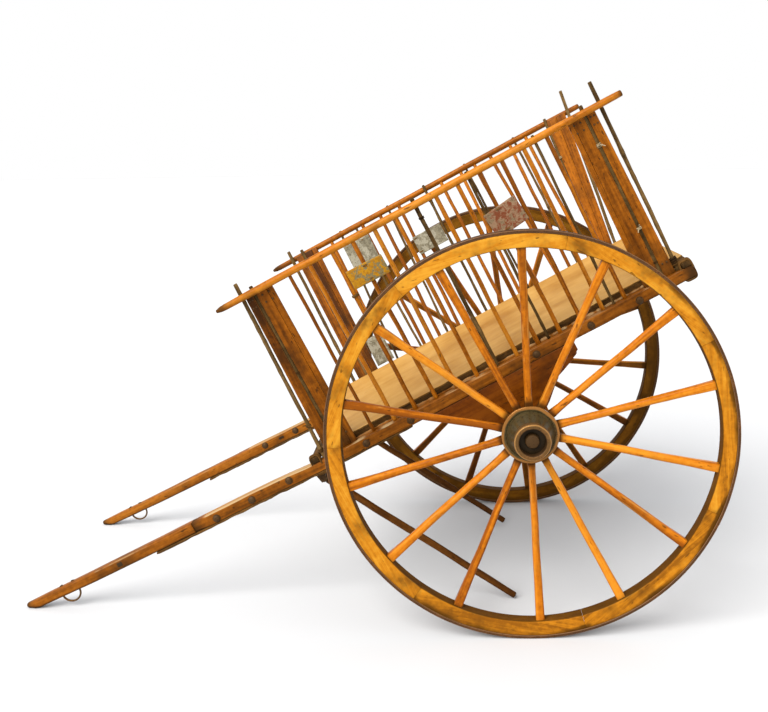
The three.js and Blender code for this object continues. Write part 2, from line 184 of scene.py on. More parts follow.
def carried(path, half, corner, section, across=None, through=None, side=(0, 1, 0), tips=(2.0, 2.0),
            loop=False, soil=0.0, bare=0.0, seed=0, dents=0.0, tone=0.05, lighter=0.0):
    # Profile carried along a path: point = centre + across * u + through * w. Both ends are rounded off over
    # their tip length by rows on a quarter circle: drawn in by tip * (1 - cos) and taken out by tip * sin.
    path = np.array(path, float)
    rows, count = len(path), len(section["edge"])
    if across is None:
        across, through = crossFrames(path, side)
    half = np.broadcast_to(np.asarray(half, float), (rows, 2))
    corner = np.broadcast_to(np.asarray(corner, float), (rows,))
    across, through = (np.broadcast_to(np.asarray(d, float), (rows, 3)) for d in (across, through))
    soil, bare = (np.broadcast_to(np.asarray(m, float), (rows, count)) for m in (soil, bare))
    source, inset = np.arange(rows), np.zeros(rows)
    if not loop:
        quarter = np.radians(barEnd["rows"])
        back = quarter[::-1]
        first, last = unit(path[1] - path[0]), unit(path[-1] - path[-2])
        path[0] += first * tips[0]
        path[-1] -= last * tips[1]
        path = np.concatenate([path[0] - first * tips[0] * np.sin(quarter)[:, None], path,
                               path[-1] + last * tips[1] * np.sin(back)[:, None]])
        source = np.pad(source, len(quarter), mode="edge")
        inset = np.concatenate([tips[0] * (1 - np.cos(quarter)), inset, tips[1] * (1 - np.cos(back))])
    size = np.maximum(half[source] - inset[:, None], barEnd["leastShare"] * half[source])
    radius = np.clip(corner[source] - barEnd["cornerLoss"] * inset, barEnd["leastCorner"], size.min(1))
    flat = section["stand"] * (size - radius[:, None])[:, None] + section["push"] * radius[:, None, None]
    if dents:
        flat = flat * (1 + dents * lumps(len(path), count, seed + 7)[..., None])
    points = (path[:, None] + across[source][:, None] * flat[..., :1]
              + through[source][:, None] * flat[..., 1:])
    length = np.concatenate([[0], np.cumsum(np.linalg.norm(np.diff(path, axis=0), axis=1))])
    rng = np.random.default_rng(seed + 1000)
    grain = np.concatenate([np.broadcast_to(length[:, None, None], flat.shape[:2] + (1,)), flat], -1) * mm
    endRow = np.clip(inset / (max(tips) + 1e-6) * 2, 0, 1)[:, None]
    edge = np.maximum(np.broadcast_to(section["edge"], flat.shape[:2]), barEnd["worn"] * endRow)
    soiledAndShaded = np.clip(soil[source] + barEnd["soiled"] * endRow, 0, 1)
    return {"points": points, "grain": grain + rng.uniform(0, grainSpread, 3), "loop": loop,
            "marks": np.stack([edge, soiledAndShaded, bare[source]], -1), "tone": lighter + rng.normal(0, tone)}


def roundBar(path, radius, section, *directions, **looks):
    # a carried circle: both half sizes and the corner are the radius
    radius = np.asarray(radius, float)
    return carried(path, np.stack([radius, radius], -1), radius, section, *directions, **looks)


def turned(outline, count=48, closed=True, soil=0.0, rubbed=0.0, dents=0.0):
    # outline of (t along the Y axis, radius) swept round that axis: x = r cos, z = r sin; dents go inwards
    t, r = np.asarray(outline, float).T
    angle = 2 * np.pi * np.arange(count) / count
    wide = r[:, None] * (1 - dents * (0.5 + 0.5 * lumps(2, count, turning["dentSeed"], 2)[:1]))
    out, reach, around = (np.broadcast_to(m, wide.shape) for m in (t[:, None], r[:, None], angle))
    points = np.stack([wide * np.cos(angle), out, wide * np.sin(angle)], -1)
    soil, rubbed = (np.broadcast_to(np.asarray(m, float).reshape(-1, 1), wide.shape) for m in (soil, rubbed))
    rng = np.random.default_rng(turning["seed"])
    grain = np.stack([around * turning["grainTurn"], out * mm, reach * mm], -1)
    marks = np.stack([rubbed, soil, np.zeros_like(soil)], -1)
    return {"points": points, "grain": grain + rng.uniform(0, grainSpread, 3), "marks": marks,
            "loop": closed, "tone": rng.normal(0, turning["tone"])}


def softened(outline, radius, steps=4):
    # each corner of a closed outline becomes a quadratic curve that starts and ends a radius away from it
    corner = np.asarray(outline, float)

    def reach(turn):
        # towards the neighbour, by the radius or just under half of the way
        leg = np.roll(corner, turn, 0) - corner
        return np.minimum(radius, 0.45 * np.linalg.norm(leg, axis=1, keepdims=True)) * unit(leg)

    t = np.linspace(0, 1, steps)[None, :, None]
    curve = corner[:, None] + reach(1)[:, None] * (1 - t) ** 2 + reach(-1)[:, None] * t ** 2
    return curve.reshape(-1, 2)


def sheetSkin(first, second, lift, thickness, seed, torn=None):
    # A thin sheet: rows along first, a ring across second over the top and back underneath. lift(p, q) gives
    # the middle surface, torn(p, q) moves its edges, and the rim is drawn in to a share of the thickness.
    p, q = np.meshgrid(first, second, indexing="ij")
    if torn:
        p, q = torn(p, q)
    height = lift(p, q)
    rim = np.ones_like(p)
    rim[0] = rim[-1] = rim[:, 0] = rim[:, -1] = rimShare
    offset = 0.5 * thickness * rim
    top = np.stack([p, q, height + offset], -1)
    under = np.stack([p, q, height - offset], -1)[:, ::-1]
    points = np.concatenate([top, under], 1)
    worn = np.concatenate([1 - rim, (1 - rim)[:, ::-1]], 1) / (1 - rimShare)
    start = np.random.default_rng(seed + 1000).uniform(0, grainSpread, 3)
    marks = np.stack([worn, np.zeros_like(worn), np.zeros_like(worn)], -1)
    return {"points": points, "grain": points * mm + start, "marks": marks, "loop": False, "tone": 0.0}


def ringFaces(rows, count, loop):
    # quads between neighbouring rows; open ends are closed by quads between the two halves of the end row
    row = np.arange(rows if loop else rows - 1)[:, None] * count
    above = (row + count) % (rows * count)
    j = np.arange(count)[None]
    k = (j + 1) % count
    faces = [np.stack([row + j, row + k, above + k, above + j], -1).reshape(-1, 4)]
    if not loop:
        i = np.arange(count // 2 - 1)
        cap = np.stack([i, i + 1, count - 2 - i, count - 1 - i], -1)
        faces += [cap[:, ::-1], cap + (rows - 1) * count]
    return np.concatenate(faces)


def outwards(points, faces):
    # faces turned round when the volume they enclose comes out negative
    a, b, c, d = (points[faces[:, n]] for n in range(4))
    middle = points.mean(0)
    volume = ((a - middle) * (np.cross(b - middle, c - middle) + np.cross(c - middle, d - middle))).sum()
    return faces if volume > 0 else faces[:, ::-1]


def makePiece(name, parts, finish, replaces=(), body="chassis"):
    # one mesh from several surfaces, with the grain, marks and tone that its finish reads
    points, faces, grain, marks, tone, start = [], [], [], [], [], 0
    for part in parts:
        rows, count = part["points"].shape[:2]
        flat = part["points"].reshape(-1, 3)
        points.append(flat)
        faces.append(outwards(flat, ringFaces(rows, count, part["loop"])) + start)
        grain.append(part["grain"].reshape(-1, 3))
        marks.append(part["marks"].reshape(-1, 3))
        tone.append(np.full(len(flat), part["tone"]))
        start += len(flat)
    points, faces = np.concatenate(points), np.concatenate(faces)
    mesh = bpy.data.meshes.new(name)
    mesh.vertices.add(len(points))
    mesh.vertices.foreach_set("co", points.astype(np.float32).ravel())
    mesh.loops.add(faces.size)
    mesh.loops.foreach_set("vertex_index", faces.astype(np.int32).ravel())
    mesh.polygons.add(len(faces))
    mesh.polygons.foreach_set("loop_start", np.arange(0, faces.size, 4, dtype=np.int32))
    mesh.update(calc_edges=True)
    mesh.polygons.foreach_set("use_smooth", np.ones(len(faces), bool))
    mesh.set_sharp_from_angle(angle=math.radians(sharpAngle))
    for label, kind, field, values in (("grain", "FLOAT_VECTOR", "vector", grain),
                                       ("marks", "FLOAT_VECTOR", "vector", marks),
                                       ("tone", "FLOAT", "value", tone)):
        layer = mesh.attributes.new(label, kind, "POINT")
        layer.data.foreach_set(field, np.concatenate(values).astype(np.float32).ravel())
    mesh.materials.append(finish)
    piece = bpy.data.objects.new(name, mesh)
    bpy.context.scene.collection.objects.link(piece)
    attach(piece, body)
    if replaces:
        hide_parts(*replaces)


def placed(part, place):
    # the part with its points taken into the shared frame by place
    part["points"] = place(part["points"])
    return part


def chassisBar(*shape, **looks):
    # a carried profile, placed on the leaning chassis
    return placed(carried(*shape, **looks), onChassis)


def chassisRod(*shape, **looks):
    # a carried circle, placed on the leaning chassis
    return placed(roundBar(*shape, **looks), onChassis)


# Finishes
class Wire:
    # one socket of a node tree; arithmetic on it adds Math nodes
    def __init__(self, tree, socket):
        self.tree, self.socket = tree, socket

    def math(self, operation, other, swapped=False):
        node = self.tree.nodes.new("ShaderNodeMath")
        node.operation = operation
        for slotIndex, value in enumerate((other, self) if swapped else (self, other)):
            if isinstance(value, Wire):
                self.tree.links.new(value.socket, node.inputs[slotIndex])
            else:
                node.inputs[slotIndex].default_value = value
        return Wire(self.tree, node.outputs[0])

    def __add__(self, other):
        return self.math("ADD", other)

    def __sub__(self, other):
        return self.math("SUBTRACT", other)

    def __rsub__(self, other):
        return self.math("SUBTRACT", other, True)

    def __mul__(self, other):
        return self.math("MULTIPLY", other)

    __radd__ = __add__
    __rmul__ = __mul__


class Finish:
    # one material: a Principled shader and the nodes that feed it
    def __init__(self, name, constants):
        self.material = bpy.data.materials.new(name)
        self.material.use_nodes = True
        self.tree = self.material.node_tree
        self.shader = self.tree.nodes["Principled BSDF"]
        for socketName, value in constants.items():
            self.shader.inputs[socketName].default_value = value

    def node(self, kind, settings, sockets, output=0):
        # any node from its type, its settings (a colour ramp's stops are one) and what goes into its sockets
        made = self.tree.nodes.new(kind)
        for field, value in settings.items():
            if field == "stops":
                self.setStops(made.color_ramp.elements, value)
            else:
                setattr(made, field, value)
        for key, value in sockets.items():
            target = next(s for s in made.inputs if s.identifier == key or s.name == key and s.enabled)
            if isinstance(value, Wire):
                self.tree.links.new(value.socket, target)
            else:
                target.default_value = value
        return Wire(self.tree, made.outputs[output])

    def setStops(self, elements, stops):
        for place, _ in stops[2:]:
            elements.new(place)
        for element, (place, colour) in zip(elements, stops):
            element.position = place
            element.color = colour

    def attribute(self, label, output="Vector"):
        return self.node("ShaderNodeAttribute", {"attribute_name": label}, {}, output)

    def channels(self, label):
        vector = self.attribute(label)
        return [self.node("ShaderNodeSeparateXYZ", {}, {"Vector": vector}, axis) for axis in "XYZ"]

    def place(self):
        return self.node("ShaderNodeTexCoord", {}, {}, "Object")

    def scaled(self, vector, size):
        return self.node("ShaderNodeVectorMath", {"operation": "MULTIPLY"},
                         {"Vector": vector, "Vector_001": size})

    def noise(self, vector, scale=1.0, detail=2.0, rough=0.5, twist=0.0):
        return self.node("ShaderNodeTexNoise", {}, {"Vector": vector, "Scale": scale, "Detail": detail,
                                                    "Roughness": rough, "Distortion": twist})

    def ramp(self, value, low, high):
        return self.node("ShaderNodeMapRange", {"interpolation_type": "SMOOTHSTEP"},
                         {"Value": value, "From Min": low, "From Max": high})

    def tint(self, value, stops):
        return self.node("ShaderNodeValToRGB", {"stops": stops}, {"Fac": value})

    def mix(self, factor, first, second):
        return self.node("ShaderNodeMix", {"data_type": "RGBA", "clamp_factor": True},
                         {"Factor_Float": factor, "A_Color": first, "B_Color": second}, 2)

    def feed(self, sockets, height, strength, distance):
        # wires into the shader's sockets, and a height through a Bump into its Normal
        bump = {"Height": height, "Strength": strength, "Distance": distance}
        for socketName, wire in {**sockets, "Normal": self.node("ShaderNodeBump", {}, bump)}.items():
            self.tree.links.new(wire.socket, self.shader.inputs[socketName])
        return self.material


seenLevel = 1.7                               # how much brighter than its own colour a lit face shows here
bumpDepth = {"wood": 0.0016, "iron": 0.0012, "plate": 0.0006, "plywood": 0.0012}        # metres


def ownColour(red, green, blue):
    # a lit face's screen colour of 0 to 255 as linear light, taken back to the surface's own colour
    c = np.array([red, green, blue]) / 255
    linear = np.where(c <= 0.04045, c / 12.92, ((c + 0.055) / 1.055) ** 2.4)
    return (*(linear / seenLevel).tolist(), 1.0)


def ownColours(look):
    # every screen colour of a look as the surface's own colour, its plain numbers as they are
    return {key: ownColour(*value) if isinstance(value, tuple) else value for key, value in look.items()}


# Woods: dark, middle and light streaks, what soaks in as stain, bare wood where the varnish is gone, soil,
# whose colour also serves as painted shade
woods = {
    "felloe": {"dark": (156, 94, 14), "middle": (212, 134, 24), "light": (236, 166, 48),
               "stain": (96, 60, 14), "bare": (230, 178, 104), "soil": (84, 52, 8),
               "stained": 0.8, "varnish": 0.10, "rough": 0.42, "bump": 0.3},
    "spoke": {"dark": (156, 82, 8), "middle": (214, 122, 16), "light": (240, 154, 40), "stain": (84, 42, 10),
              "bare": (232, 172, 92), "soil": (62, 36, 12),
              "stained": 0.4, "varnish": 0.16, "rough": 0.36, "bump": 0.25},
    "beam": {"dark": (104, 58, 10), "middle": (152, 86, 16), "light": (190, 116, 34), "stain": (64, 38, 12),
             "bare": (216, 188, 140), "soil": (62, 42, 20),
             "stained": 0.65, "varnish": 0.08, "rough": 0.46, "bump": 0.5},
    "rail": {"dark": (146, 80, 12), "middle": (204, 120, 22), "light": (230, 150, 46), "stain": (84, 46, 12),
             "bare": (226, 168, 92), "soil": (78, 50, 20),
             "stained": 0.5, "varnish": 0.16, "rough": 0.34, "bump": 0.3},
    "board": {"dark": (84, 44, 6), "middle": (142, 78, 10), "light": (194, 112, 22), "stain": (54, 32, 12),
              "bare": (200, 150, 88), "soil": (60, 42, 20),
              "stained": 0.75, "varnish": 0.08, "rough": 0.48, "bump": 0.45},
    # funnel: the axle boards, darkened past the beam's wood as painted shade
    "funnel": {"dark": (74, 34, 2), "middle": (112, 54, 3), "light": (138, 72, 8), "stain": (52, 28, 8),
               "bare": (190, 134, 70), "soil": (58, 38, 18),
               "stained": 0.5, "varnish": 0.08, "rough": 0.46, "bump": 0.35},
    "stake": {"dark": (66, 48, 24), "middle": (110, 84, 46), "light": (148, 116, 70), "stain": (50, 36, 18),
              "bare": (176, 146, 104), "soil": (60, 46, 28),
              "stained": 0.5, "varnish": 0.0, "rough": 0.68, "bump": 0.6},
    "plank": {"dark": (52, 34, 14), "middle": (88, 60, 26), "light": (130, 92, 46), "stain": (40, 28, 14),
              "bare": (182, 144, 92), "soil": (52, 40, 24),
              "stained": 0.6, "varnish": 0.0, "rough": 0.7, "bump": 0.6},
    "prop": {"dark": (70, 38, 8), "middle": (104, 60, 16), "light": (136, 84, 32), "stain": (44, 26, 12),
             "bare": (160, 116, 70), "soil": (52, 36, 20),
             "stained": 0.5, "varnish": 0.03, "rough": 0.55, "bump": 0.45},
    "twine": {"dark": (120, 98, 66), "middle": (164, 140, 100), "light": (204, 184, 146),
              "stain": (84, 64, 40), "bare": (226, 212, 184), "soil": (70, 54, 36),
              "stained": 0.5, "varnish": 0.0, "rough": 0.85, "bump": 0.8},
}
woodSheen = {"IOR": 1.13, "Specular IOR Level": 0.5, "Coat Roughness": 0.3, "Coat IOR": 1.3}
# Noise cells in a metre: along the grain and both ways across it, or one number for all directions
woodScale = {"figure": (1.6, 24, 24), "streak": (3.0, 105, 105), "fibre": (14, 520, 520),
             "fleck": (26, 95, 95), "blotch": 7.0, "mottle": 48.0}


def woodFinish(name, look):
    # streaked colour, then stain, flecks, worn or bare wood, and soil with painted shade, mixed over it in
    # turn
    look = ownColours(look)
    f = Finish(name + "_wood", woodSheen)
    grain = f.attribute("grain")
    edge, soil, bare = f.channels("marks")
    tone = f.attribute("tone", "Fac")
    figure = f.noise(f.scaled(grain, woodScale["figure"]), detail=3.0, twist=0.7)      # broad growth bands
    streak = f.noise(f.scaled(grain, woodScale["streak"]), detail=3.0, rough=0.6)      # narrow streaks
    fibre = f.noise(f.scaled(grain, woodScale["fibre"]), detail=2.0)                   # pores and fibres
    blotch = f.noise(f.place(), woodScale["blotch"], detail=4.0, rough=0.6)            # uneven varnish
    mottle = f.noise(f.place(), woodScale["mottle"], detail=3.0, rough=0.65)           # spots of handling
    fleck = f.noise(f.scaled(grain, woodScale["fleck"]), detail=1.5)                   # knots and nail marks
    shade = figure * 0.4 + streak * 0.25 + fibre * 0.13 + mottle * 0.22 + tone
    colour = f.tint(shade, [(0.39, look["dark"]), (0.5, look["middle"]), (0.62, look["light"])])
    soaked = f.ramp(blotch + mottle * 0.15 + streak * 0.2, 0.75 - 0.1 * look["stained"], 0.92)
    colour = f.mix(soaked * look["stained"], colour, look["stain"])
    spot = f.ramp(fleck, 0.67, 0.74)
    colour = f.mix(spot * 0.75, colour, look["stain"])
    worn = f.ramp(edge * 0.5 + blotch * 0.8 + streak * 0.2, 0.86, 1.06)
    gone = f.ramp(bare + worn * 0.55 + fibre * 0.25 - 0.2, 0.1, 0.75)
    bareTint = f.mix(f.ramp(streak, 0.35, 0.7), look["bare"], look["light"])
    colour = f.mix(gone * 0.85, colour, bareTint)
    dirtAndShade = f.ramp(soil * 0.85 + blotch * 0.5 + fibre * 0.1, 0.42, 0.98)
    colour = f.mix(dirtAndShade * 0.9, colour, look["soil"])
    rough = look["rough"] + dirtAndShade * 0.25 + gone * 0.2 + (streak - 0.5) * 0.25
    gloss = (1 - dirtAndShade) * (1 - gone) * look["varnish"]
    height = fibre * 0.45 + streak * 0.4 - spot * 0.6
    sockets = {"Base Color": colour, "Roughness": rough, "Coat Weight": gloss}
    return f.feed(sockets, height, look["bump"], bumpDepth["wood"])


# Irons: bare metal shade, two rusts and how far the rust has gone
irons = {
    "tyre": {"metal": (88, 58, 32), "rust": (124, 80, 42), "deep": (50, 30, 16), "bright": (160, 116, 74),
             "rusted": 0.6, "rough": 0.6, "metallic": 0.15, "scratched": 0.2},
    "hub": {"metal": (86, 74, 44), "rust": (108, 80, 42), "deep": (46, 32, 14), "bright": (196, 130, 60),
            "rusted": 0.3, "rough": 0.3, "metallic": 0.35, "scratched": 0.55},
    "collar": {"metal": (112, 80, 40), "rust": (140, 94, 46), "deep": (62, 40, 18), "bright": (204, 150, 84),
               "rusted": 0.6, "rough": 0.45, "metallic": 0.25, "scratched": 0.3},
    "bolt": {"metal": (88, 62, 32), "rust": (110, 72, 30), "deep": (50, 34, 16), "bright": (160, 132, 88),
             "rusted": 0.6, "rough": 0.5, "metallic": 0.25, "scratched": 0.2},
}
ironSheen = {"IOR": 1.25, "Specular IOR Level": 0.5}
ironScale = {"cloud": 16.0, "pitting": 150.0, "scratch": (14, 160, 160)}


def ironFinish(name, look):
    # clouds of rust on the metal, dark pits, edges rubbed bright, and soil with painted shade, mixed over it
    # in turn
    look = ownColours(look)
    f = Finish(name + "_iron", ironSheen)
    place = f.place()
    edge, soil, _ = f.channels("marks")
    cloud = f.noise(place, ironScale["cloud"], detail=4.0, rough=0.62)
    pitting = f.noise(place, ironScale["pitting"], detail=2.0)
    scratch = f.noise(f.scaled(f.attribute("grain"), ironScale["scratch"]), detail=2.0)
    rust = f.ramp(cloud + (pitting - 0.5) * 0.35, 0.62 - 0.3 * look["rusted"], 0.74)
    colour = f.mix(rust, look["metal"], look["rust"])
    colour = f.mix(f.ramp(pitting + cloud * 0.3, 0.66, 0.84) * 0.7, colour, look["deep"])
    rubbed = f.ramp(edge * 0.75 + scratch * (0.5 + look["scratched"]), 0.62, 0.95)
    colour = f.mix(rubbed * 0.7, colour, look["bright"])
    dirtAndShade = f.ramp(soil + cloud * 0.3, 0.25, 0.9)
    colour = f.mix(dirtAndShade * 0.9, colour, look["deep"])
    rough = look["rough"] + rust * 0.2 + dirtAndShade * 0.1 - rubbed * 0.15
    metallic = (1 - rust * 0.6) * look["metallic"]
    height = cloud * 0.5 - pitting * 0.5
    sockets = {"Base Color": colour, "Roughness": rough, "Metallic": metallic}
    return f.feed(sockets, height, 0.35, bumpDepth["iron"])


# Plates: two paints that flake off a grey sheet, where the flaking starts, flakes in a metre, and rust
paints = {
    "yellow": {"paint": (214, 152, 22), "second": (188, 128, 30), "sheet": (160, 146, 104),
               "rust": (122, 90, 44), "left": 0.492, "flakes": 34.0, "rusted": 0.85},
    "red": {"paint": (146, 80, 50), "second": (176, 140, 108), "sheet": (172, 146, 112),
            "rust": (100, 64, 36), "left": 0.53, "flakes": 34.0, "rusted": 0.7},
    "grey": {"paint": (142, 134, 110), "second": (112, 104, 82), "sheet": (168, 162, 142),
             "rust": (96, 82, 56), "left": 0.5, "flakes": 20.0, "rusted": 0.3},
}
plateScale = {"fine": 170.0, "rubbed": (60, 60, 60)}


def plateFinish(name, look):
    # rubbed paint, bare sheet where it has flaked off, and rust mixed over it in turn
    look = ownColours(look)
    f = Finish(name + "_plate", ironSheen)
    place = f.place()
    edge = f.channels("marks")[0]
    patch = f.noise(place, look["flakes"], detail=5.0, rough=0.65)
    fine = f.noise(place, plateScale["fine"], detail=3.0, rough=0.6)
    rubbed = f.noise(f.scaled(place, plateScale["rubbed"]), detail=3.0, twist=1.2)
    colour = f.mix(f.ramp(rubbed, 0.42, 0.6), look["paint"], look["second"])
    flaked = f.ramp(patch + edge * 0.14 + (fine - 0.5) * 0.16, look["left"], look["left"] + 0.035)
    colour = f.mix(flaked, colour, look["sheet"])
    rust = f.ramp(patch * 0.6 + fine * 0.5 + edge * 0.1, 0.6, 0.7)
    colour = f.mix(rust * look["rusted"], colour, look["rust"])
    rough = 0.45 + flaked * 0.15 + rust * 0.25
    metallic = flaked * (1 - rust) * 0.35
    sockets = {"Base Color": colour, "Roughness": rough, "Metallic": metallic}
    return f.feed(sockets, fine * 0.3 - flaked, 0.5, bumpDepth["plate"])


# Plywood: a pale peeled face with long cathedral bands, dark glue lines on the rim
plywoodLook = {"pale": (224, 174, 98), "tan": (206, 154, 80), "band": (184, 130, 60), "rim": (104, 70, 32),
               "stain": (168, 118, 58)}
plywoodSheen = {"IOR": 1.13, "Specular IOR Level": 0.5}
plywoodScale = {"band": (1.1, 9, 30), "streak": (5, 120, 120), "fibre": (22, 620, 620), "blotch": 4.5}


def plywoodFinish(look):
    # banded colour, then stain and the dark rim mixed over it
    look = ownColours(look)
    f = Finish("plywood_face", plywoodSheen)
    grain = f.attribute("grain")
    edge = f.channels("marks")[0]
    band = f.noise(f.scaled(grain, plywoodScale["band"]), detail=3.0, twist=1.4)
    streak = f.noise(f.scaled(grain, plywoodScale["streak"]), detail=3.0)
    fibre = f.noise(f.scaled(grain, plywoodScale["fibre"]), detail=2.0)
    blotch = f.noise(f.place(), plywoodScale["blotch"], detail=4.0)
    shade = band * 0.22 + streak * 0.12 + fibre * 0.08 + blotch * 0.58
    colour = f.tint(shade, [(0.36, look["band"]), (0.48, look["tan"]), (0.6, look["pale"])])
    colour = f.mix(f.ramp(blotch + streak * 0.2, 0.66, 0.9) * 0.45, colour, look["stain"])
    rim = f.ramp(edge + blotch * 0.25, 0.3, 0.8)
    colour = f.mix(rim * 0.85, colour, look["rim"])
    rough = 0.55 + (streak - 0.5) * 0.2 + rim * 0.2
    height = fibre * 0.5 + streak * 0.4
    return f.feed({"Base Color": colour, "Roughness": rough}, height, 0.25, bumpDepth["plywood"])


wood = {name: woodFinish(name, look) for name, look in woods.items()}
iron = {name: ironFinish(name, look) for name, look in irons.items()}
paint = {name: plateFinish(name, look) for name, look in paints.items()}
plywood = plywoodFinish(plywoodLook)
print("finishes:", len(wood) + len(iron) + len(paint) + 1)

# Wheels: fourteen spokes in a dished wheel, seven felloes, an iron tyre and a turned nave
wheel = {
    "plane": 736.0, "radius": 775.0, "tyreThick": 12.0, "tyreWide": 58.0, "tyreCorner": 2.6, "felloes": 7,
    "felloeDeep": 54.0, "felloeWide": 55.0, "felloeCorner": 4.0, "jointGap": 0.5, "spokes": 14, "dish": 50.0,
    "dishFrom": 70.0, "phase": {"left": 92.4, "right": 97.9},
    "spokeAt": (84.0, 108.0, 150.0, 300.0, 430.0, 600.0, 672.0, 708.6),
    "spokeWide": (31.0, 29.5, 26.5, 27.5, 28.5, 30.5, 32.5, 33.0),
    "spokeDeep": (36.0, 35.0, 33.0, 31.5, 31.0, 31.5, 33.0, 34.0),
    "spokeCorner": (4.0, 5.0, 10.0, 12.5, 12.5, 10.0, 6.0, 3.5),
    "footStain": (100.0, 146.0), "headStain": (690.0, 709.0), "innerShade": 0.62, "hubShade": 0.75,
    # soil beside the tyre, and painted light that makes the felloes paler, each strongest towards a
    # direction in radians
    "tyreDirt": 0.8, "dirtTowards": -0.6, "paintedLight": 0.035, "paintedLightTowards": 2.1,
}
# Outlines turned about the axle: distance out of the rim's plane, radius
nave = {
    "back": [(-150, 23), (-150, 60), (-140, 68), (-106, 72), (-102, 76), (-90, 76), (-88, 91), (-30, 92),
             (-20, 91), (-20, 23)],
    "cone": [(-20, 23), (-20, 91.5), (-6, 91.5), (-3, 88.5), (22, 77.5), (46, 70), (60, 66.5), (60, 23)],
    "flange": [(-20, 92), (-20, 110), (-7, 110), (-7, 92)],
    "nose": [(60.3, 51), (60.3, 69), (84, 70), (90, 70), (97, 66.5), (97, 54), (92, 50), (70, 50)],
    "nut": [(58, 22), (58, 27), (74, 27), (78, 24), (80, 15), (80.8, 6), (81, 0.6)],
    "soften": 3.0, "noseSoften": 2.5, "dents": 0.02, "coneSoil": (40, 59), "flangeRim": 104, "noseHole": 53,
    "noseShoulder": (65, 69),
}


def spokeSet(sign, phase):
    # a round-cornered bar that swells at both ends, leaning out of the nave's plane towards the rim
    at = np.linspace(wheel["spokeAt"][0], wheel["spokeAt"][-1], 30)
    wide, deep, corner = (np.interp(at, wheel["spokeAt"], wheel[key])
                          for key in ("spokeWide", "spokeDeep", "spokeCorner"))
    size = np.stack([wide, deep], -1) / 2
    lean = -wheel["dish"] * (1 - (at - wheel["dishFrom"]) / (at[-1] - wheel["dishFrom"]))
    # darker on the faces turned towards the cart: painted shade
    inner = np.clip(-squared["push"][:, 1], 0, 1) * wheel["innerShade"]
    stain = (1 - blendIn(at, *wheel["footStain"])) + 0.35 * blendIn(at, *wheel["headStain"])
    for k in range(wheel["spokes"]):
        angle = math.radians(phase) + 2 * math.pi * k / wheel["spokes"]
        outDir = np.array([math.cos(angle), 0, math.sin(angle)])
        sideDir = np.array([-math.sin(angle), 0, math.cos(angle)])
        drift = sway(at, 300 + k, 0.9)
        path = outDir * at[:, None] + sideDir * drift[:, :1]
        path[:, 1] = lean + drift[:, 1]
        part = carried(path, size, corner, squared, sideDir, (0, 1, 0), tips=(0.5, 0.5), seed=40 + k,
                       soil=stain[:, None] + inner[None], dents=0.012)
        yield placed(part, onWheel(sign))


def felloeRing(sign, phase):
    # arcs of a round-cornered section; the grain runs straight through each sawn felloe
    middle = wheel["radius"] - wheel["tyreThick"] - seatGap - wheel["felloeDeep"] / 2
    half = (wheel["felloeDeep"] / 2, wheel["felloeWide"] / 2)
    span = 2 * math.pi / wheel["felloes"]
    gap = wheel["jointGap"] / middle
    stand, push = felloeBar["stand"], felloeBar["push"]
    # darker on the inward faces and on the faces towards the hub: painted shade
    inner, hubward = (np.clip(-push[:, axis], 0, 1) for axis in (1, 0))
    shaded = inner * wheel["innerShade"] + wheel["hubShade"] * hubward
    besideTyre = blendIn(stand[:, 0], 0.2, 0.9) * np.abs(push[:, 1]) * wheel["tyreDirt"]
    for k in range(wheel["felloes"]):
        begin = math.radians(phase) + (k - 0.25) * span
        centre = begin + span / 2
        angle = np.linspace(begin + gap / 2, begin + span - gap / 2, 26)
        radial = np.stack([np.cos(angle), np.zeros_like(angle), np.sin(angle)], -1)
        joint = 0.25 * blendIn(np.abs(angle - begin - span / 2), span / 2 - 0.02, span / 2)
        towards = 0.55 + 0.45 * np.cos(angle - wheel["dirtTowards"])
        patchy = (0.75 + 0.6 * lumps(len(angle), 3, 90 + k, 2)[:, :1]) * towards[:, None]
        soil = joint[:, None] + shaded[None] + besideTyre[None] * patchy
        # painted light: a felloe is paler the nearer it lies to one direction, darker opposite
        pale = wheel["paintedLight"] * math.cos(centre - wheel["paintedLightTowards"])
        part = carried(radial * middle, half, wheel["felloeCorner"], felloeBar, radial, (0, 1, 0),
                       tips=(0.3, 0.3), seed=80 + k, tone=0.02, lighter=pale, soil=soil)
        x, t, z = np.moveaxis(part["points"], -1, 0)
        c, s = math.cos(centre), math.sin(centre)
        part["grain"] = np.stack([z * c - x * s, x * c + z * s, t], -1) * mm + 3.1 * k
        yield placed(part, onWheel(sign))


def tyreHoop(sign):
    # a flat band bent round the felloes, hammered a little out of true towards its middle
    rows = 168
    angle = np.linspace(0, 2 * np.pi, rows, endpoint=False)
    radial = np.stack([np.cos(angle), np.zeros_like(angle), np.sin(angle)], -1)
    inset = 0.35 + 0.35 * lumps(rows, 2, 5)[:, :1]
    path = radial * (wheel["radius"] - wheel["tyreThick"] / 2 - inset)
    half = (wheel["tyreThick"] / 2, wheel["tyreWide"] / 2)
    part = carried(path, half, wheel["tyreCorner"], squared, radial, (0, 1, 0), loop=True, seed=9)
    return placed(part, onWheel(sign))


def naveBack(sign):
    # the stepped inner end, turned about the axle
    return placed(turned(softened(nave["back"], nave["soften"]), soil=0.8), onWheel(sign))


def naveCone(sign):
    # the outer cone, turned about the axle and soiled in two steps towards the nose
    outline = softened(nave["cone"], nave["soften"])
    near, nose = (outline[:, 0] > past for past in nave["coneSoil"])
    return placed(turned(outline, 64, soil=0.75 * nose + 0.2 * near), onWheel(sign))


def naveFlange(sign):
    # a flat ring turned about the axle, rubbed bright round its rim
    outline = softened(nave["flange"], nave["soften"])
    bright = 0.9 * (outline[:, 1] > nave["flangeRim"])
    return placed(turned(outline, 64, rubbed=bright, dents=nave["dents"]), onWheel(sign))


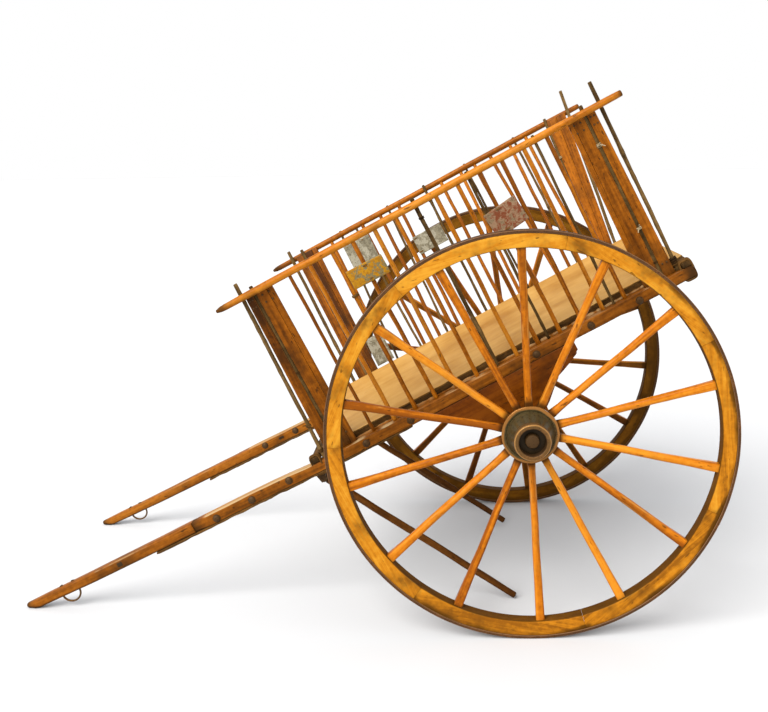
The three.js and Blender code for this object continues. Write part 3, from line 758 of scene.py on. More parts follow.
def noseRing(sign):
    # a hollow ring turned about the axle, darker inside its hole and rubbed on its shoulder
    outline = softened(nave["nose"], nave["noseSoften"])
    radius = outline[:, 1]
    low, high = nave["noseShoulder"]
    bright, dark = 0.7 * ((radius > low) & (radius < high)), 0.7 * (radius < nave["noseHole"])
    return placed(turned(outline, 64, soil=dark, rubbed=bright, dents=nave["dents"]), onWheel(sign))


def axleEnd(sign):
    # a domed nut on a collar, both turned about the axle
    return placed(turned(nave["nut"], 32, closed=False, soil=0.25), onWheel(sign))


for side, sign in sides.items():
    body, phase = "wheel_" + side, wheel["phase"][side]
    makePiece("iron_tyre_" + side, [tyreHoop(sign)], iron["tyre"], ["tyre_" + side], body)
    rim, spokes = felloeRing(sign, phase), spokeSet(sign, phase)
    makePiece("felloe_ring_" + side, rim, wood["felloe"], ["felloes_" + side], body)
    makePiece("spoke_set_" + side, spokes, wood["spoke"], ["wheel_" + side], body)
    makePiece("nave_back_" + side, [naveBack(sign)], wood["prop"], body=body)
    makePiece("nave_cone_" + side, [naveCone(sign)], iron["hub"], body=body)
    flange, nose = naveFlange(sign), noseRing(sign)
    makePiece("nave_flange_" + side, [flange], iron["hub"], ["nave_flange_" + side], body)
    makePiece("nave_nose_" + side, [nose], iron["collar"], ["nose_ring_" + side], body)
    makePiece("axle_end_" + side, [axleEnd(sign)], iron["bolt"], ["axle_nut_" + side])
print("wheels done")

# Axle: a square bar between the naves and round arms inside them
axle = {"square": 44.0, "corner": 4.0, "shoulder": 584.0, "arm": 22.0, "end": 800.0}


def axleBar():
    # a round-cornered square carried from shoulder to shoulder, and a circle carried from end to end
    reach, end = (np.array([0, axle[key], 0]) for key in ("shoulder", "end"))
    square = chassisBar(between(-reach, reach, 40), axle["square"] / 2, axle["corner"], squared, *alongUp,
                        tips=(3, 3), seed=21, dents=0.02, soil=0.25)
    arms = chassisRod(between(-end, end, 8), axle["arm"], fullRod, *alongUp, seed=22, soil=0.4)
    return [square, arms]


makePiece("axle_bar", axleBar(), iron["bolt"], ["axle"])

# Shafts: the side beams run forwards as shafts; a scarf joint marks where the front length was let in
shaft = {
    "middle": 460.0,
    "at": (-2164.0, -2130.0, -1867.0, -1497.0, -1026.0, -858.0, -480.0, 65.0, 862.0),
    "low": (256.4, 238.4, 224.0, 213.0, 201.0, 195.0, 188.0, 187.0, 187.0),
    "top": (276.0, 274.0, 266.0, 257.0, 245.0, 234.0, 234.0, 234.0, 234.0),
    "half": (17.0, 21.0, 23.0, 26.0, 28.0, 28.0, 28.0, 28.0, 28.0), "corners": (10.0, 4.5),
    "scarf": (-1395.0, -1325.0), "scarfDeep": 7.0, "lighter": {"left": -0.015, "right": 0.03},
    # each pair: where a bare length (on the top face also painted light) or a soiled one starts to come in
    # or to go out, and where it has done so
    "bareIn": (-1347.0, -1322.0), "bareOut": (-865.0, -825.0), "splintersIn": (-700.0, -600.0),
    "splintersOut": (700.0, 800.0), "tipSoilOut": (-2160.0, -2120.0), "rearSoilIn": (790.0, 856.0),
    "strip": (-1580.0, -414.0), "stripThick": 11.0, "stripLeast": 4.0, "stripHalf": 25.0,
    "ringAt": -1982.0, "ringRadius": 37.0, "ringWire": 4.0,
}


def shaftLow(a):
    # height of the shaft's underside, straight between its stations
    return np.interp(a, shaft["at"], shaft["low"])


def shaftBeam(sign, seed, lighter):
    # round-cornered section over the stations, its outer face let in along the scarf
    first, last = shaft["scarf"]
    even = np.linspace(shaft["at"][0], shaft["at"][-1], 120)
    a = np.unique(np.concatenate([even, [first - 2, first, last, last + 3]]))
    low, top, half = (np.interp(a, shaft["at"], shaft[key]) for key in ("low", "top", "half"))
    slope = np.where((a >= first) & (a <= last), (last - a) / (last - first), 0.0) * (sign < 0)
    cutIn = shaft["scarfDeep"] * slope
    drift = sway(a, seed, 0.8)
    path = np.stack([a, sign * (shaft["middle"] - cutIn / 2) + drift[:, 0] * 0.6, (low + top) / 2], -1)
    size = np.stack([half - cutIn / 2, (top - low) / 2], -1)
    corner = np.interp(a, (first - 25, last + 15), shaft["corners"])
    # pale bare wood and splinters on the top face: partly wear, partly painted light on the lit top
    upFace = blendIn(squared["push"][:, 1], 0.25, 0.8)
    bare = blendIn(a, *shaft["bareIn"]) * (1 - blendIn(a, *shaft["bareOut"]))
    splinters = np.clip(1.6 * lumps(len(a), 2, seed + 5, 2)[:, 0], 0, 1)
    splinters = splinters * blendIn(a, *shaft["splintersIn"]) * (1 - blendIn(a, *shaft["splintersOut"]))
    # the scarf's recess is darkest at its deep end: painted shadow; the tips and the rear end are soiled
    soil = np.maximum(0.7 * slope, 0.6 * (1 - blendIn(a, *shaft["tipSoilOut"])))
    soil = soil + 0.7 * blendIn(a, *shaft["rearSoilIn"]) + 0.12
    # darker on the downward faces and the lower half: painted shade
    under = 0.45 * np.clip(-squared["push"][:, 1], 0, 1) + 0.14 * (squared["stand"][:, 1] < 0)
    return chassisBar(path, size, corner, squared, *acrossUp, tips=(3, 3), seed=seed, dents=0.03, tone=0.0,
                      lighter=lighter, soil=soil[:, None] + under[None],
                      bare=np.maximum(bare, splinters)[:, None] * upFace[None])


def underStrip(sign, seed):
    # a flat section along the shaft's underside, thinned by seeded lumps
    rows = 90
    a = np.linspace(*shaft["strip"], rows)
    ragged = 2.6 * lumps(rows, 2, seed, 1)[:, 0] + 1.4
    thick = np.maximum(shaft["stripThick"] - np.abs(ragged), shaft["stripLeast"])
    path = np.stack([a, np.full_like(a, sign * shaft["middle"]), shaftLow(a) - seatGap - thick / 2], -1)
    size = np.stack([shaft["stripHalf"] + lumps(rows, 2, seed + 1)[:, 1], thick / 2], -1)
    return chassisBar(path, size, 2.0, squared, *acrossUp, seed=seed, soil=0.35)


def halfRing(sign):
    # a wire bent into half a circle, its legs let into the shaft's underside
    angle = np.linspace(0, np.pi, 25)
    a = shaft["ringAt"] - shaft["ringRadius"] * np.cos(angle)
    v = shaftLow(a) - seatGap - shaft["ringRadius"] * np.sin(angle)
    path = np.stack([a, np.full_like(a, sign * shaft["middle"]), v], -1)
    return chassisRod(path, shaft["ringWire"], rod, tips=(0.5, 0.5), seed=31)


for side, sign in sides.items():
    beam, strip = shaftBeam(sign, 500 + int(sign), shaft["lighter"][side]), underStrip(sign, 520 + int(sign))
    makePiece("shaft_beam_" + side, [beam], wood["beam"], ["shaft_" + side])
    makePiece("under_strip_" + side, [strip], wood["plank"], ["shaft_plate_" + side])
    makePiece("half_ring_" + side, [halfRing(sign)], iron["collar"], ["shaft_ring_" + side])
print("shafts done")

# Axle boards: a deep funnel of board between axle and beam, highest in front
axleBoard = {
    "inner": 442.0, "outer": 486.0, "top": 186.7, "corner": 4.5,
    "at": (-325.0, -102.0, -46.0, 15.0, 95.0, 190.0, 279.0, 302.0, 313.0),
    "low": (183.0, -16.0, -59.0, -68.0, -5.0, 85.0, 122.0, 136.0, 155.0),
}


def axleBoardSkin(sign, seed):
    # a section whose lower edge follows the funnel's outline, averaged over five stations
    at, inner, outer, top = (axleBoard[key] for key in ("at", "inner", "outer", "top"))
    a = np.unique(np.concatenate([np.linspace(at[0] + 2, at[-1] - 2, 60), at[1:-1]]))
    low = np.interp(a, at, axleBoard["low"])
    low = np.convolve(np.pad(low, 2, mode="edge"), np.ones(5) / 5, "valid")
    path = np.stack([a, np.full_like(a, sign * (inner + outer) / 2), (low + top) / 2], -1)
    size = np.stack([np.full_like(a, (outer - inner) / 2), (top - low) / 2], -1)
    part = carried(path, size, axleBoard["corner"], flatBoard, *acrossUp, tips=(1.5, 2.5), seed=seed)
    part["grain"] = part["points"][..., [0, 2, 1]] * mm + 1.7 * seed
    return placed(part, onChassis)


for side, sign in sides.items():
    skin = axleBoardSkin(sign, 60 + int(sign))
    # the axle boards' darker funnel wood is painted shade
    makePiece("axle_board_skin_" + side, [skin], wood["funnel"], ["axle_board_" + side])

# Sides: rail, thin uprights, corner boards and stakes, all leaning outwards
panel = {
    "beam": 460.0, "beamTop": 234.0, "rail": 635.0, "railHeight": 963.0, "railRadius": 14.5,
    "railAt": (-836.0, -828.0, -806.0, -638.0, 584.0, 875.0, 902.0),
    "railSize": (7.0, 9.5, 12.5, 14.5, 14.5, 13.0, 12.0), "lighter": {"left": 0.02, "right": -0.06},
    "boardLighter": {"front": -0.02, "rear": 0.015}, "stakeLighter": {"tall": 0.08, "dark": 0.01},
    # soil on the rail, and at the foot and head of the boards: where it comes in or goes out
    "railFrontOut": (-836.0, -770.0), "railGripOut": (-700.0, -560.0), "railRearIn": (876.0, 902.0),
    "smears": (-611.0, -248.0, 111.0, 391.0, 660.0), "boardFootOut": (243.0, 423.0),
    "boardHeadIn": (913.0, 967.0),
    # a at the rail, a at the beam, radius, height over the rail
    "uprights": {
        "left": ((-521, -563, 7, 3), (-434, -467, 9, 0), (-335, -371, 9, 4), (-248, -278, 9, 2),
                 (-153, -184, 9, 0), (-61, -91, 9, 3), (111, 88, 9, 2), (203, 184, 9, 0),
                 (299, 282, 9, 3), (391, 378, 9, 0), (485, 473, 9, 2), (581, 571, 9, 3)),
        "right": ((-505, -510, 9, 2), (-327, -322, 9, 3), (-225, -239, 9, 0), (-120, -130, 9, 2),
                  (122, 110, 9, 0), (233, 205, 9, 3), (310, 305, 9, 0), (399, 412, 9, 2),
                  (511, 478, 9, 0), (598, 585, 9, 3))},
    "thinUprights": {
        "left": ((251, 231, 6, 18), (534, 522, 6, 19)),
        "right": ((-443, -477, 6, 18), (-363, -342, 6, 12), (-174, -196, 6, 18), (265, 255, 6, 18),
                  (540, 522, 6, 18))},
    # name, edges at the rail, edges at the beam, share of the width where a board is split in two
    "boards": {
        "left": (("front_outer", (-716, -685.5), (-772, -726.5), None),
                 ("front_inner", (-672.5, -603), (-713.5, -641), 0.65),
                 ("rear_inner", (672, 738.5), (657, 733.5), 0.29),
                 ("rear_outer", (751.5, 786), (746.5, 793), None)),
        "right": (("front_outer", (-697, -662.5), (-690, -650.5), None),
                  ("front_inner", (-649.5, -581), (-637.5, -585), 0.6),
                  ("rear_inner", (722.5, 774.8), (641.5, 674.8), None),
                  ("rear_outer", (775.2, 822), (675.2, 704), None))},
    "boardThick": 14.0, "boardOver": 4.0, "splitBack": 1.5, "splitThin": 0.5,
    # name, a at the rail, a at the beam, radius, height over the rail
    "stakes": {
        "left": (("front_tall_stake", -728, -791, 8, 60), ("front_dark_stake", -679, -720, 8, 24),
                 ("middle_stake", 24, -1, 8.5, 27), ("rear_dark_stake", 745, 740, 8, 30),
                 ("rear_tall_stake", 814, 806, 8, 92)),
        "right": (("front_tall_stake", -719, -717, 8, 50), ("front_dark_stake", -656, -644, 8, 28),
                  ("middle_stake", 35, 22, 7, 22), ("rear_dark_stake", 717, 636, 7, 24),
                  ("rear_tall_stake", 838, 718, 8, 108))},
}
sideHigh = panel["railHeight"] - panel["beamTop"]
leanCos = math.cos(math.atan2(panel["rail"] - panel["beam"], sideHigh))


def upShare(v):
    # 0 at the beam's top, 1 at the rail
    return (np.asarray(v, float) - panel["beamTop"]) / sideHigh


def leanAt(v, inset=0.0):
    # distance of the side's line from the cart's middle at height v, drawn in by inset at the rail
    return panel["beam"] + (panel["rail"] - inset - panel["beam"]) * upShare(v)


def insideRail(half):
    # how far inside the rail's line a rod or board of this half thickness stands when it leans on the rail
    return (panel["railRadius"] + half + seatGap) / leanCos


def uprightRod(sign, top, foot, radius, over, seed, inset=0.0, knots=0.0, swayBy=1.4, soil=0.0, rows=34,
               lighter=0.0, tone=0.08):
    # a round rod from the beam to the rail; knots swell it by a few Gaussian bumps
    v = np.linspace(panel["beamTop"] + seatGap, panel["railHeight"] + over, rows)
    share = upShare(v)
    hold = np.clip(np.minimum(share, np.abs(1 - share)) * 6, 0, 1)
    drift = sway(v, seed, swayBy) * hold[:, None]
    a = foot + (top - foot) * share + drift[:, 0]
    path = np.stack([a, sign * (leanAt(v, inset) + 0.5 * drift[:, 1]), v], -1)
    at = np.random.default_rng(seed + 50).uniform(0.08, 0.9, 4)
    swell = 1 + knots * np.exp(-((share[:, None] - at) / 0.018) ** 2).sum(1)
    size = radius * swell * (1 + 0.04 * sway(v, seed + 3, 1.0, 260)[:, 0])
    return chassisRod(path, size, rod, (1, 0, 0), (0, sign, 0), tips=(0.5, 0.45 * radius), seed=seed,
                      dents=0.05 if knots else 0.02, soil=soil, tone=tone, lighter=lighter - 0.04)


def railPole(sign, seed, lighter):
    # a long tapering pole with dark, handled ends and Gaussian smears between them
    a = np.linspace(panel["railAt"][0], panel["railAt"][-1], 90)
    size = np.interp(a, panel["railAt"], panel["railSize"])
    drift = sway(a, seed, 1.6, 900)
    path = np.stack([a, sign * panel["rail"] + drift[:, 0], panel["railHeight"] + drift[:, 1] * 0.5], -1)
    soil = 0.55 * (1 - blendIn(a, *panel["railFrontOut"])) + 0.32 * (1 - blendIn(a, *panel["railGripOut"]))
    soil = soil + 0.6 * blendIn(a, *panel["railRearIn"])
    soil = soil + 0.3 * np.exp(-((a[:, None] - np.array(panel["smears"])) / 9) ** 2).sum(1)
    return chassisRod(path, size, fullRod, *acrossUp, tips=(5, 4), seed=seed, soil=soil[:, None], dents=0.02,
                      tone=0.0, lighter=lighter)


def cornerBoard(sign, top, foot, cut, seed, lighter):
    # a flat board, or two beside each other, with its section kept level from the beam up to the rail
    v = np.linspace(panel["beamTop"] + seatGap, panel["railHeight"] + panel["boardOver"], 30)
    half = panel["boardThick"] / 2
    edges = np.array(foot) + (np.array(top) - np.array(foot)) * upShare(v)[:, None]
    cuts = [0, 1] if cut is None else [0, cut, 1]
    soil = 0.5 * (1 - blendIn(v, *panel["boardFootOut"])) + 0.25 * blendIn(v, *panel["boardHeadIn"])
    for k in range(len(cuts) - 1):
        near, far = (edges[:, 0] + (edges[:, 1] - edges[:, 0]) * c for c in cuts[k:k + 2])
        near, far = near + seatGap * (k > 0), far - seatGap * (k + 2 < len(cuts))
        y = sign * (leanAt(v, insideRail(half * leanCos)) - panel["splitBack"] * k)
        size = np.stack([(far - near) / 2, np.full_like(v, half - panel["splitThin"] * k)], -1)
        path = np.stack([(near + far) / 2, y, v], -1)
        yield chassisBar(path, size, 2.4, flatBoard, (1, 0, 0), (0, sign, 0), tips=(0.6, 2.0),
                         seed=seed + 13 * k, soil=soil[:, None], dents=0.01, tone=0.03, lighter=lighter)


for side, sign in sides.items():
    seed, shade = 700 + int(40 * sign), panel["lighter"][side]
    rods = [uprightRod(sign, *row, seed + k, lighter=shade) for k, row in enumerate(panel["uprights"][side])]
    pole = railPole(sign, seed, 1.5 * shade)
    makePiece("rail_pole_" + side, [pole] + rods, wood["rail"], ["rail_" + side])
    thin = [uprightRod(sign, *row, seed + 90 + k, knots=0.15, soil=0.1, lighter=0.04, tone=0.03)
            for k, row in enumerate(panel["thinUprights"][side])]
    makePiece("thin_uprights_" + side, thin, wood["stake"])
    for k, (name, top, foot, cut) in enumerate(panel["boards"][side]):
        boards = cornerBoard(sign, top, foot, cut, seed + 20 + k, panel["boardLighter"][name.split("_")[0]])
        makePiece(f"slat_{name}_{side}", boards, wood["board"], [f"board_{name}_{side}"])
    for k, (name, top, foot, radius, over) in enumerate(panel["stakes"][side]):
        shade = panel["stakeLighter"]["tall" if "tall" in name else "dark"]
        stake = uprightRod(sign, top, foot, radius, over, seed + 60 + k, insideRail(radius), knots=0.12,
                           swayBy=1.0, soil=0.12, rows=60, lighter=shade, tone=0.02)
        makePiece(f"{name}_rod_{side}", [stake], wood["stake"], [f"{name}_{side}"])
print("sides done")

# Floor: cross bars, rough planks and a loose sheet of plywood whose far edge has curled up
bed = {
    # from, to, half length, underside, top
    "bars": {"front": (-840, -808, 492, 234.3, 259), "second": (-432, -382, 431.5, 189, 234),
             "third": (133, 184, 431.5, 189, 234), "fourth": (590, 642, 431.5, 189, 234),
             "rear": (821, 860, 492, 234.3, 259)},
    "planks": 4, "from": -807.5, "to": 820.5, "half": 431.0, "low": 234.3, "top": 259.0, "gap": 4.0,
    "sheetFrom": -836.0, "sheetTo": 859.0, "near": -430.0, "far": 452.0, "sheetLow": 259.3,
    "sheetThick": 6.0, "bend": 250.0, "rise": 38.2, "wave": 0.8, "waveLong": 260.0, "waveFrom": 60.0,
    "waveIn": 200.0,
    "fray": 7.0, "frayDeep": 140.0, "broken": 40.0, "brokenFrom": 190.0, "brokenTo": 30.0,
    "tornBack": 130.0, "tornWide": 330.0, "tornLong": 260.0,
    "lathInner": 431.3, "lathWide": 16.0, "lathHigh": 9.0, "lathGap": 0.1,
}


def crossBar(first, last, reach, low, top, seed):
    # a rough bar across the cart, thinned by seeded lumps towards its bare ends
    rows = 50
    y = np.linspace(-reach, reach, rows)
    ends = blendIn(np.abs(y), 0.8 * reach, reach)
    loss = np.abs(lumps(rows, 2, seed) * 1.2 * ends[:, None])
    path = np.stack([np.full_like(y, (first + last) / 2), y, np.full_like(y, (low + top) / 2)], -1)
    size = np.stack([(last - first) / 2 - 1.5 * loss[:, 0], (top - low) / 2 - 1.2 * loss[:, 1]], -1)
    return chassisBar(path, size, 3.5, squared, *alongUp, tips=(4, 4), seed=seed, dents=0.03, soil=0.35)


def plankSkin(k, seed):
    # a flat section from bar to bar; the floor's width less its gaps is shared out evenly
    width = (2 * bed["half"] - (bed["planks"] - 1) * bed["gap"]) / bed["planks"]
    y = -bed["half"] + (k + 0.5) * width + k * bed["gap"]
    middle, half = (bed["low"] + bed["top"]) / 2, (bed["top"] - bed["low"]) / 2
    path = between((bed["from"], y, middle), (bed["to"], y, middle), 60)
    return chassisBar(path, (width / 2, half), 0.8, flatBoard, *acrossUp, seed=seed, dents=0.006, soil=0.25)


def edgeLath(sign, seed):
    # a ragged lath on the beam along the floor's edge: its height follows seeded lumps
    rows = 260
    a = np.linspace(bed["from"] + 8, bed["to"] - 12, rows)
    ragged = lumps(rows, 2, seed, 2)
    height = bed["lathHigh"] * (0.75 + 0.25 * ragged[:, 0])
    y = sign * (bed["lathInner"] + bed["lathWide"] / 2)
    path = np.stack([a, np.full_like(a, y), panel["beamTop"] + bed["lathGap"] + height / 2], -1)
    size = np.stack([np.full_like(a, bed["lathWide"] / 2), height / 2], -1)
    bare = 0.5 + 0.5 * ragged[:, 1:]
    return chassisBar(path, size, 1.0, squared, *acrossUp, tips=(1, 1), seed=seed, bare=bare)


def plywoodSkin():
    # flat over the planks, lifting by the square of the distance past the bend, with a faint long wave
    near, far, front, rear = (bed[key] for key in ("near", "far", "sheetFrom", "sheetTo"))

    def lift(a, y):
        past = np.clip((y - bed["bend"]) / (far - bed["bend"]), 0, 1)
        wave = bed["wave"] * (1 + np.sin(a / bed["waveLong"]))
        wave = wave * np.clip((y - bed["waveFrom"]) / bed["waveIn"], 0, 1)
        return bed["sheetLow"] + bed["sheetThick"] / 2 + bed["rise"] * past ** 2 + wave

    def torn(a, y):
        # the near edge frays by a few waves, its rear corner is broken off and the front edge is torn back
        rag = np.sin(a / 41) * np.sin(a / 17 + 1) + 0.6 * np.sin(a / 9)
        broken = bed["broken"] * blendIn(a, rear - bed["brokenFrom"], rear - bed["brokenTo"])
        fray = (bed["fray"] * np.clip(rag, 0, 2) + broken) * (1 - blendIn(y, near, near + bed["frayDeep"]))
        rip = 1 - blendIn(y + 30 * np.sin(y / 23), near, near + bed["tornWide"])
        back = bed["tornBack"] * rip + 5 * (1 + np.sin(y / 12))
        return a + back * (1 - blendIn(a, front, front + bed["tornLong"])), y + fray

    along, across = withRim(front, rear, 2, 220), withRim(near, far, 2, 30)
    return placed(sheetSkin(along, across, lift, bed["sheetThick"], 11, torn), onChassis)


for k, (name, row) in enumerate(bed["bars"].items()):
    makePiece("bar_" + name, [crossBar(*row, 800 + k)], wood["plank"], ["cross_bar_" + name])
for k in range(bed["planks"]):
    plank = plankSkin(k, 820 + k)
    makePiece(f"floor_plank_{k + 1}", [plank], wood["plank"], [f"plank_{k + 1}"])
for side, sign in sides.items():
    makePiece("edge_lath_" + side, [edgeLath(sign, 830 + int(sign))], wood["beam"])
makePiece("plywood_skin", [plywoodSkin()], plywood, ["plywood_sheet"])
print("floor done")

# Prop legs: a round pole with an iron eye that swings on a pin under the shaft
propLeg = {"along": -843.0, "up": 155.0, "middle": 420.0, "length": 925.0, "neck": 17.0, "head": 15.0,
           "tail": 14.0, "eye": 19.0, "eyeHole": 6.4, "eyeHalf": 14.0, "pin": 6.0, "pinIn": 20.0,
           "lugFoot": 12.0, "lugHalf": 20.0, "lug": (440.5, 448.5)}


def propPin(sign):
    # the middle of the pin that a leg swings on, in metres
    return onChassis(np.array([propLeg["along"], sign * propLeg["middle"], propLeg["up"]]))


def propPole(sign, seed):
    # a straight pole from the pin down to the floor behind, a little crooked
    rows = 40
    pin = propPin(sign) / mm
    drop = pin[2] - propLeg["tail"]
    end = pin + np.array([math.sqrt(propLeg["length"] ** 2 - drop ** 2), 0, -drop])
    path = between(pin + (end - pin) * (propLeg["neck"] / propLeg["length"]), end, rows)
    share = np.linspace(0, 1, rows)
    hold = np.clip(np.minimum(share, 1 - share) * 6, 0, 1)
    drift = sway(share * propLeg["length"], seed, 1.5) * hold[:, None]
    path[:, 1] += drift[:, 0]
    path[:, 2] += drift[:, 1] + 1.5 * np.sin(np.pi * share)
    size = np.interp(share, (0, 1), (propLeg["head"], propLeg["tail"] - 2 * seatGap))
    soil = 0.4 * (1 - blendIn(share, 0, 0.1)) + 0.35 * blendIn(share, 0.9, 1)
    return placed(roundBar(path, size, rod, tips=(3, 4), seed=seed, dents=0.04, soil=soil[:, None]), inFrame)


def propEye(sign):
    # an iron eye turned about the pin
    half, hole, radius = (propLeg[key] for key in ("eyeHalf", "eyeHole", "eye"))
    outline = softened([(-half, hole), (-half, radius), (half, radius), (half, hole)], 2.5)
    return placed(turned(outline, 28), lambda points: points * mm + propPin(sign))


def propHanger(sign):
    # a lug that widens evenly up to the shaft and the round pin through it
    along, up, (inner, outer) = (propLeg[key] for key in ("along", "up", "lug"))
    foot, top = up - propLeg["lugFoot"], shaftLow(along) - 2 * seatGap - shaft["stripThick"]
    v = np.linspace(foot, top, 10)
    wide = np.interp(v, (foot, top), (propLeg["lugFoot"], propLeg["lugHalf"]))
    path = np.stack([np.full_like(v, along), np.full_like(v, sign * (inner + outer) / 2), v], -1)
    size = np.stack([wide, np.full_like(v, (outer - inner) / 2)], -1)
    lug = chassisBar(path, size, 1.2, squared, (1, 0, 0), (0, 1, 0), tips=(1.5, 0.5), seed=71)
    path = between((along, sign * (propLeg["middle"] - propLeg["pinIn"]), up), (along, sign * outer, up), 8)
    return [lug, chassisRod(path, propLeg["pin"], rod, *alongUp, tips=(2, 1), seed=72)]


for side, sign in sides.items():
    body, pole = "prop_" + side, propPole(sign, 840 + int(sign))
    makePiece("prop_pole_" + side, [pole], wood["prop"], ["prop_" + side], body)
    makePiece("prop_eye_" + side, [propEye(sign)], iron["bolt"], body=body)
    makePiece("prop_lug_" + side, propHanger(sign), iron["bolt"], ["prop_hanger_" + side])
print("props done")

# Worn plates wired to the uprights, outside on the left and inside on the right; they turn in degrees
plates = {
    "plate_yellow": {"side": "left", "along": (-332, -179), "up": (781, 860), "turn": -1, "paint": "yellow"},
    "plate_red": {"side": "left", "along": (237, 377), "up": (699, 808), "turn": 7, "paint": "red"},
    "plate_grey": {"side": "right", "along": (-134, 21), "up": (688, 781), "turn": 0, "paint": "grey"},
    "plate_tall": {"side": "right", "along": (-463, -322), "up": (776, 901), "turn": 0, "paint": "grey"},
    "plate_low": {"side": "right", "along": (-576, -486), "up": (310, 450), "turn": 0, "paint": "grey"},
}
plateSheet = {"thick": 2.0, "standOff": 9.6, "bow": 1.1, "dogEar": 26.0, "dogEarFrom": 0.82,
              "tieIn": (10.0, 12.0)}


def plateSkin(plate, seed):
    # a thin sheet on the leaning side, bowed by a shallow wave and dog-eared at its corners
    sign, along, up = sides[plate["side"]], plate["along"], plate["up"]
    wide, tall = along[1] - along[0], up[1] - up[0]
    c, s = math.cos(math.radians(plate["turn"])), math.sin(math.radians(plate["turn"]))
    phase = np.random.default_rng(seed).uniform(0, 6, 3)

    def lift(p, q):
        bow = plateSheet["bow"] * np.sin(p / 38 + phase[0]) * np.sin(q / 30 + phase[1])
        corner = np.clip(np.abs(p / wide) + np.abs(q / tall) - plateSheet["dogEarFrom"], 0, 1)
        return bow + plateSheet["dogEar"] * corner ** 1.5 * np.sign(np.sin(phase[2]) + 0.2)

    part = sheetSkin(withRim(-wide / 2, wide / 2, 1, 24), withRim(-tall / 2, tall / 2, 1, 18), lift,
                     plateSheet["thick"], seed)
    p, q, h = np.moveaxis(part["points"], -1, 0)
    v = sum(up) / 2 + s * p + c * q
    y = sign * (leanAt(v) - sign * plateSheet["standOff"] + h)
    part["points"] = np.stack([sum(along) / 2 + c * p - s * q, y, v], -1)
    return placed(part, onChassis)


for k, (name, plate) in enumerate(plates.items()):
    skin = plateSkin(plate, 860 + k)
    makePiece(name + "_sheet", [skin], paint[plate["paint"]], [name])
print("plates done")

# Lashings: twine and wire wound round stakes, uprights and bar ends, with a loose end or two
lashing = {
    "rows": 26, "wire": 1.9, "twine": 2.8, "rope": 4.2, "loose": (18.0, 34.0),
    # stake, height, turns, kind, loose ends
    "left": (("front_dark_stake", 599, 2, "wire", 0), ("front_tall_stake", 383, 3, "wire", 1),
             ("front_tall_stake", 268, 4, "wire", 0), ("rear_dark_stake", 826, 3, "twine", 3),
             ("rear_dark_stake", 463, 2, "twine", 2), ("rear_dark_stake", 310, 2, "wire", 0),
             ("rear_tall_stake", 276, 4, "rope", 0), ("middle_stake", 905, 2, "wire", 0)),
    "right": (("front_tall_stake", 290, 3, "wire", 1), ("front_dark_stake", 640, 2, "wire", 0),
              ("rear_tall_stake", 280, 4, "rope", 0), ("rear_dark_stake", 780, 2, "twine", 2),
              ("middle_stake", 900, 2, "wire", 0)),
    # the cross bars are roped to the beams: middle along and up, half sizes of what is held
    "bars": ((838.0, 222.0, 25.0, 42.0), (-824.0, 224.0, 20.0, 41.0)), "barAt": 474.0,
    # knot of wire on an upright of the left side: along, up, arm, turns, height, thickness
    "knot": (-345.0, 761.0, 12.0, 3, 9.0, 2.6),
}


def wound(centre, axis, first, second, turns, reach, thick, seed, boxy=1.0):
    # helix: centre + axis * reach * share + first * cos + second * sin, cos and sin raised to the power boxy
    angle = np.linspace(0, 2 * np.pi * turns, lashing["rows"] * turns + 1)
    share = np.linspace(-0.5, 0.5, len(angle))[:, None]
    wobble = 1 + 0.04 * np.sin(angle * 0.37 + seed)
    arms = [np.sign(w) * np.abs(w) ** boxy * wobble for w in (np.cos(angle), np.sin(angle))]
    radial = np.outer(arms[0], first) + np.outer(arms[1], second)
    path = np.asarray(centre, float) + np.asarray(axis, float) * reach * share + radial
    return chassisRod(path, thick, thinRod, side=radial, tips=(thick / 2, thick / 2), seed=seed, dents=0.08)


def looseEnd(start, lean, length, thick, seed):
    # a short stiff end that leaves the lashing and droops by the square of its length
    share = np.linspace(0, 1, 9)[:, None]
    path = np.asarray(start, float) + np.asarray(lean, float) * length * share
    path[:, 2] -= 0.35 * length * share[:, 0] ** 2
    return chassisRod(path, thick, thinRod, side=(0.3, 0.2, 1), tips=(0.5, 0.5), seed=seed, bare=0.6)


def stakeLashing(side, stakeName, v, turns, kind, ends, seed):
    # turns about the stake's own line, squeezed between the boards beside it
    sign = sides[side]
    top, foot, radius = next(row[1:4] for row in panel["stakes"][side] if row[0] == stakeName)
    inset = insideRail(radius)
    centre = np.array([foot + (top - foot) * upShare(v), sign * leanAt(v, inset), v])
    axis = unit(np.array([top - foot, sign * (panel["rail"] - inset - panel["beam"]), sideHigh]))
    first = unit(np.array([1.0, 0, 0]) - axis * axis[0])
    thick = lashing[kind]
    arm, reach = radius + 0.7 * thick, turns * 2.1 * thick
    yield wound(centre, axis, first * arm, np.cross(axis, first) * arm, turns, reach, thick, seed)
    rng = np.random.default_rng(seed)
    for k in range(ends):
        lean = unit(np.array([rng.uniform(-1, 1), sign * rng.uniform(0.3, 0.8), rng.uniform(-0.4, 0.8)]))
        start = centre + np.array([0, sign * (arm + thick), 0])
        yield looseEnd(start, lean, rng.uniform(*lashing["loose"]), 0.6 * thick, seed + k)


def barRope(sign, along, up, halfAlong, halfUp, seed):
    # three turns about the Y axis, squared off to the bar and beam that they hold
    rope, centre = lashing["rope"], (along, sign * lashing["barAt"], up)
    return wound(centre, (0, 1, 0), (halfAlong, 0, 0), (0, 0, halfUp), 3, 6.6 * rope, rope, seed, 0.4)


def uprightTie(sign, along, up, arm, turns, reach, thick, seed):
    # level turns round an upright's line
    centre = (along, sign * leanAt(up), up)
    return wound(centre, (0, 0, 1), (arm, 0, 0), (0, arm, 0), turns, reach, thick, seed)


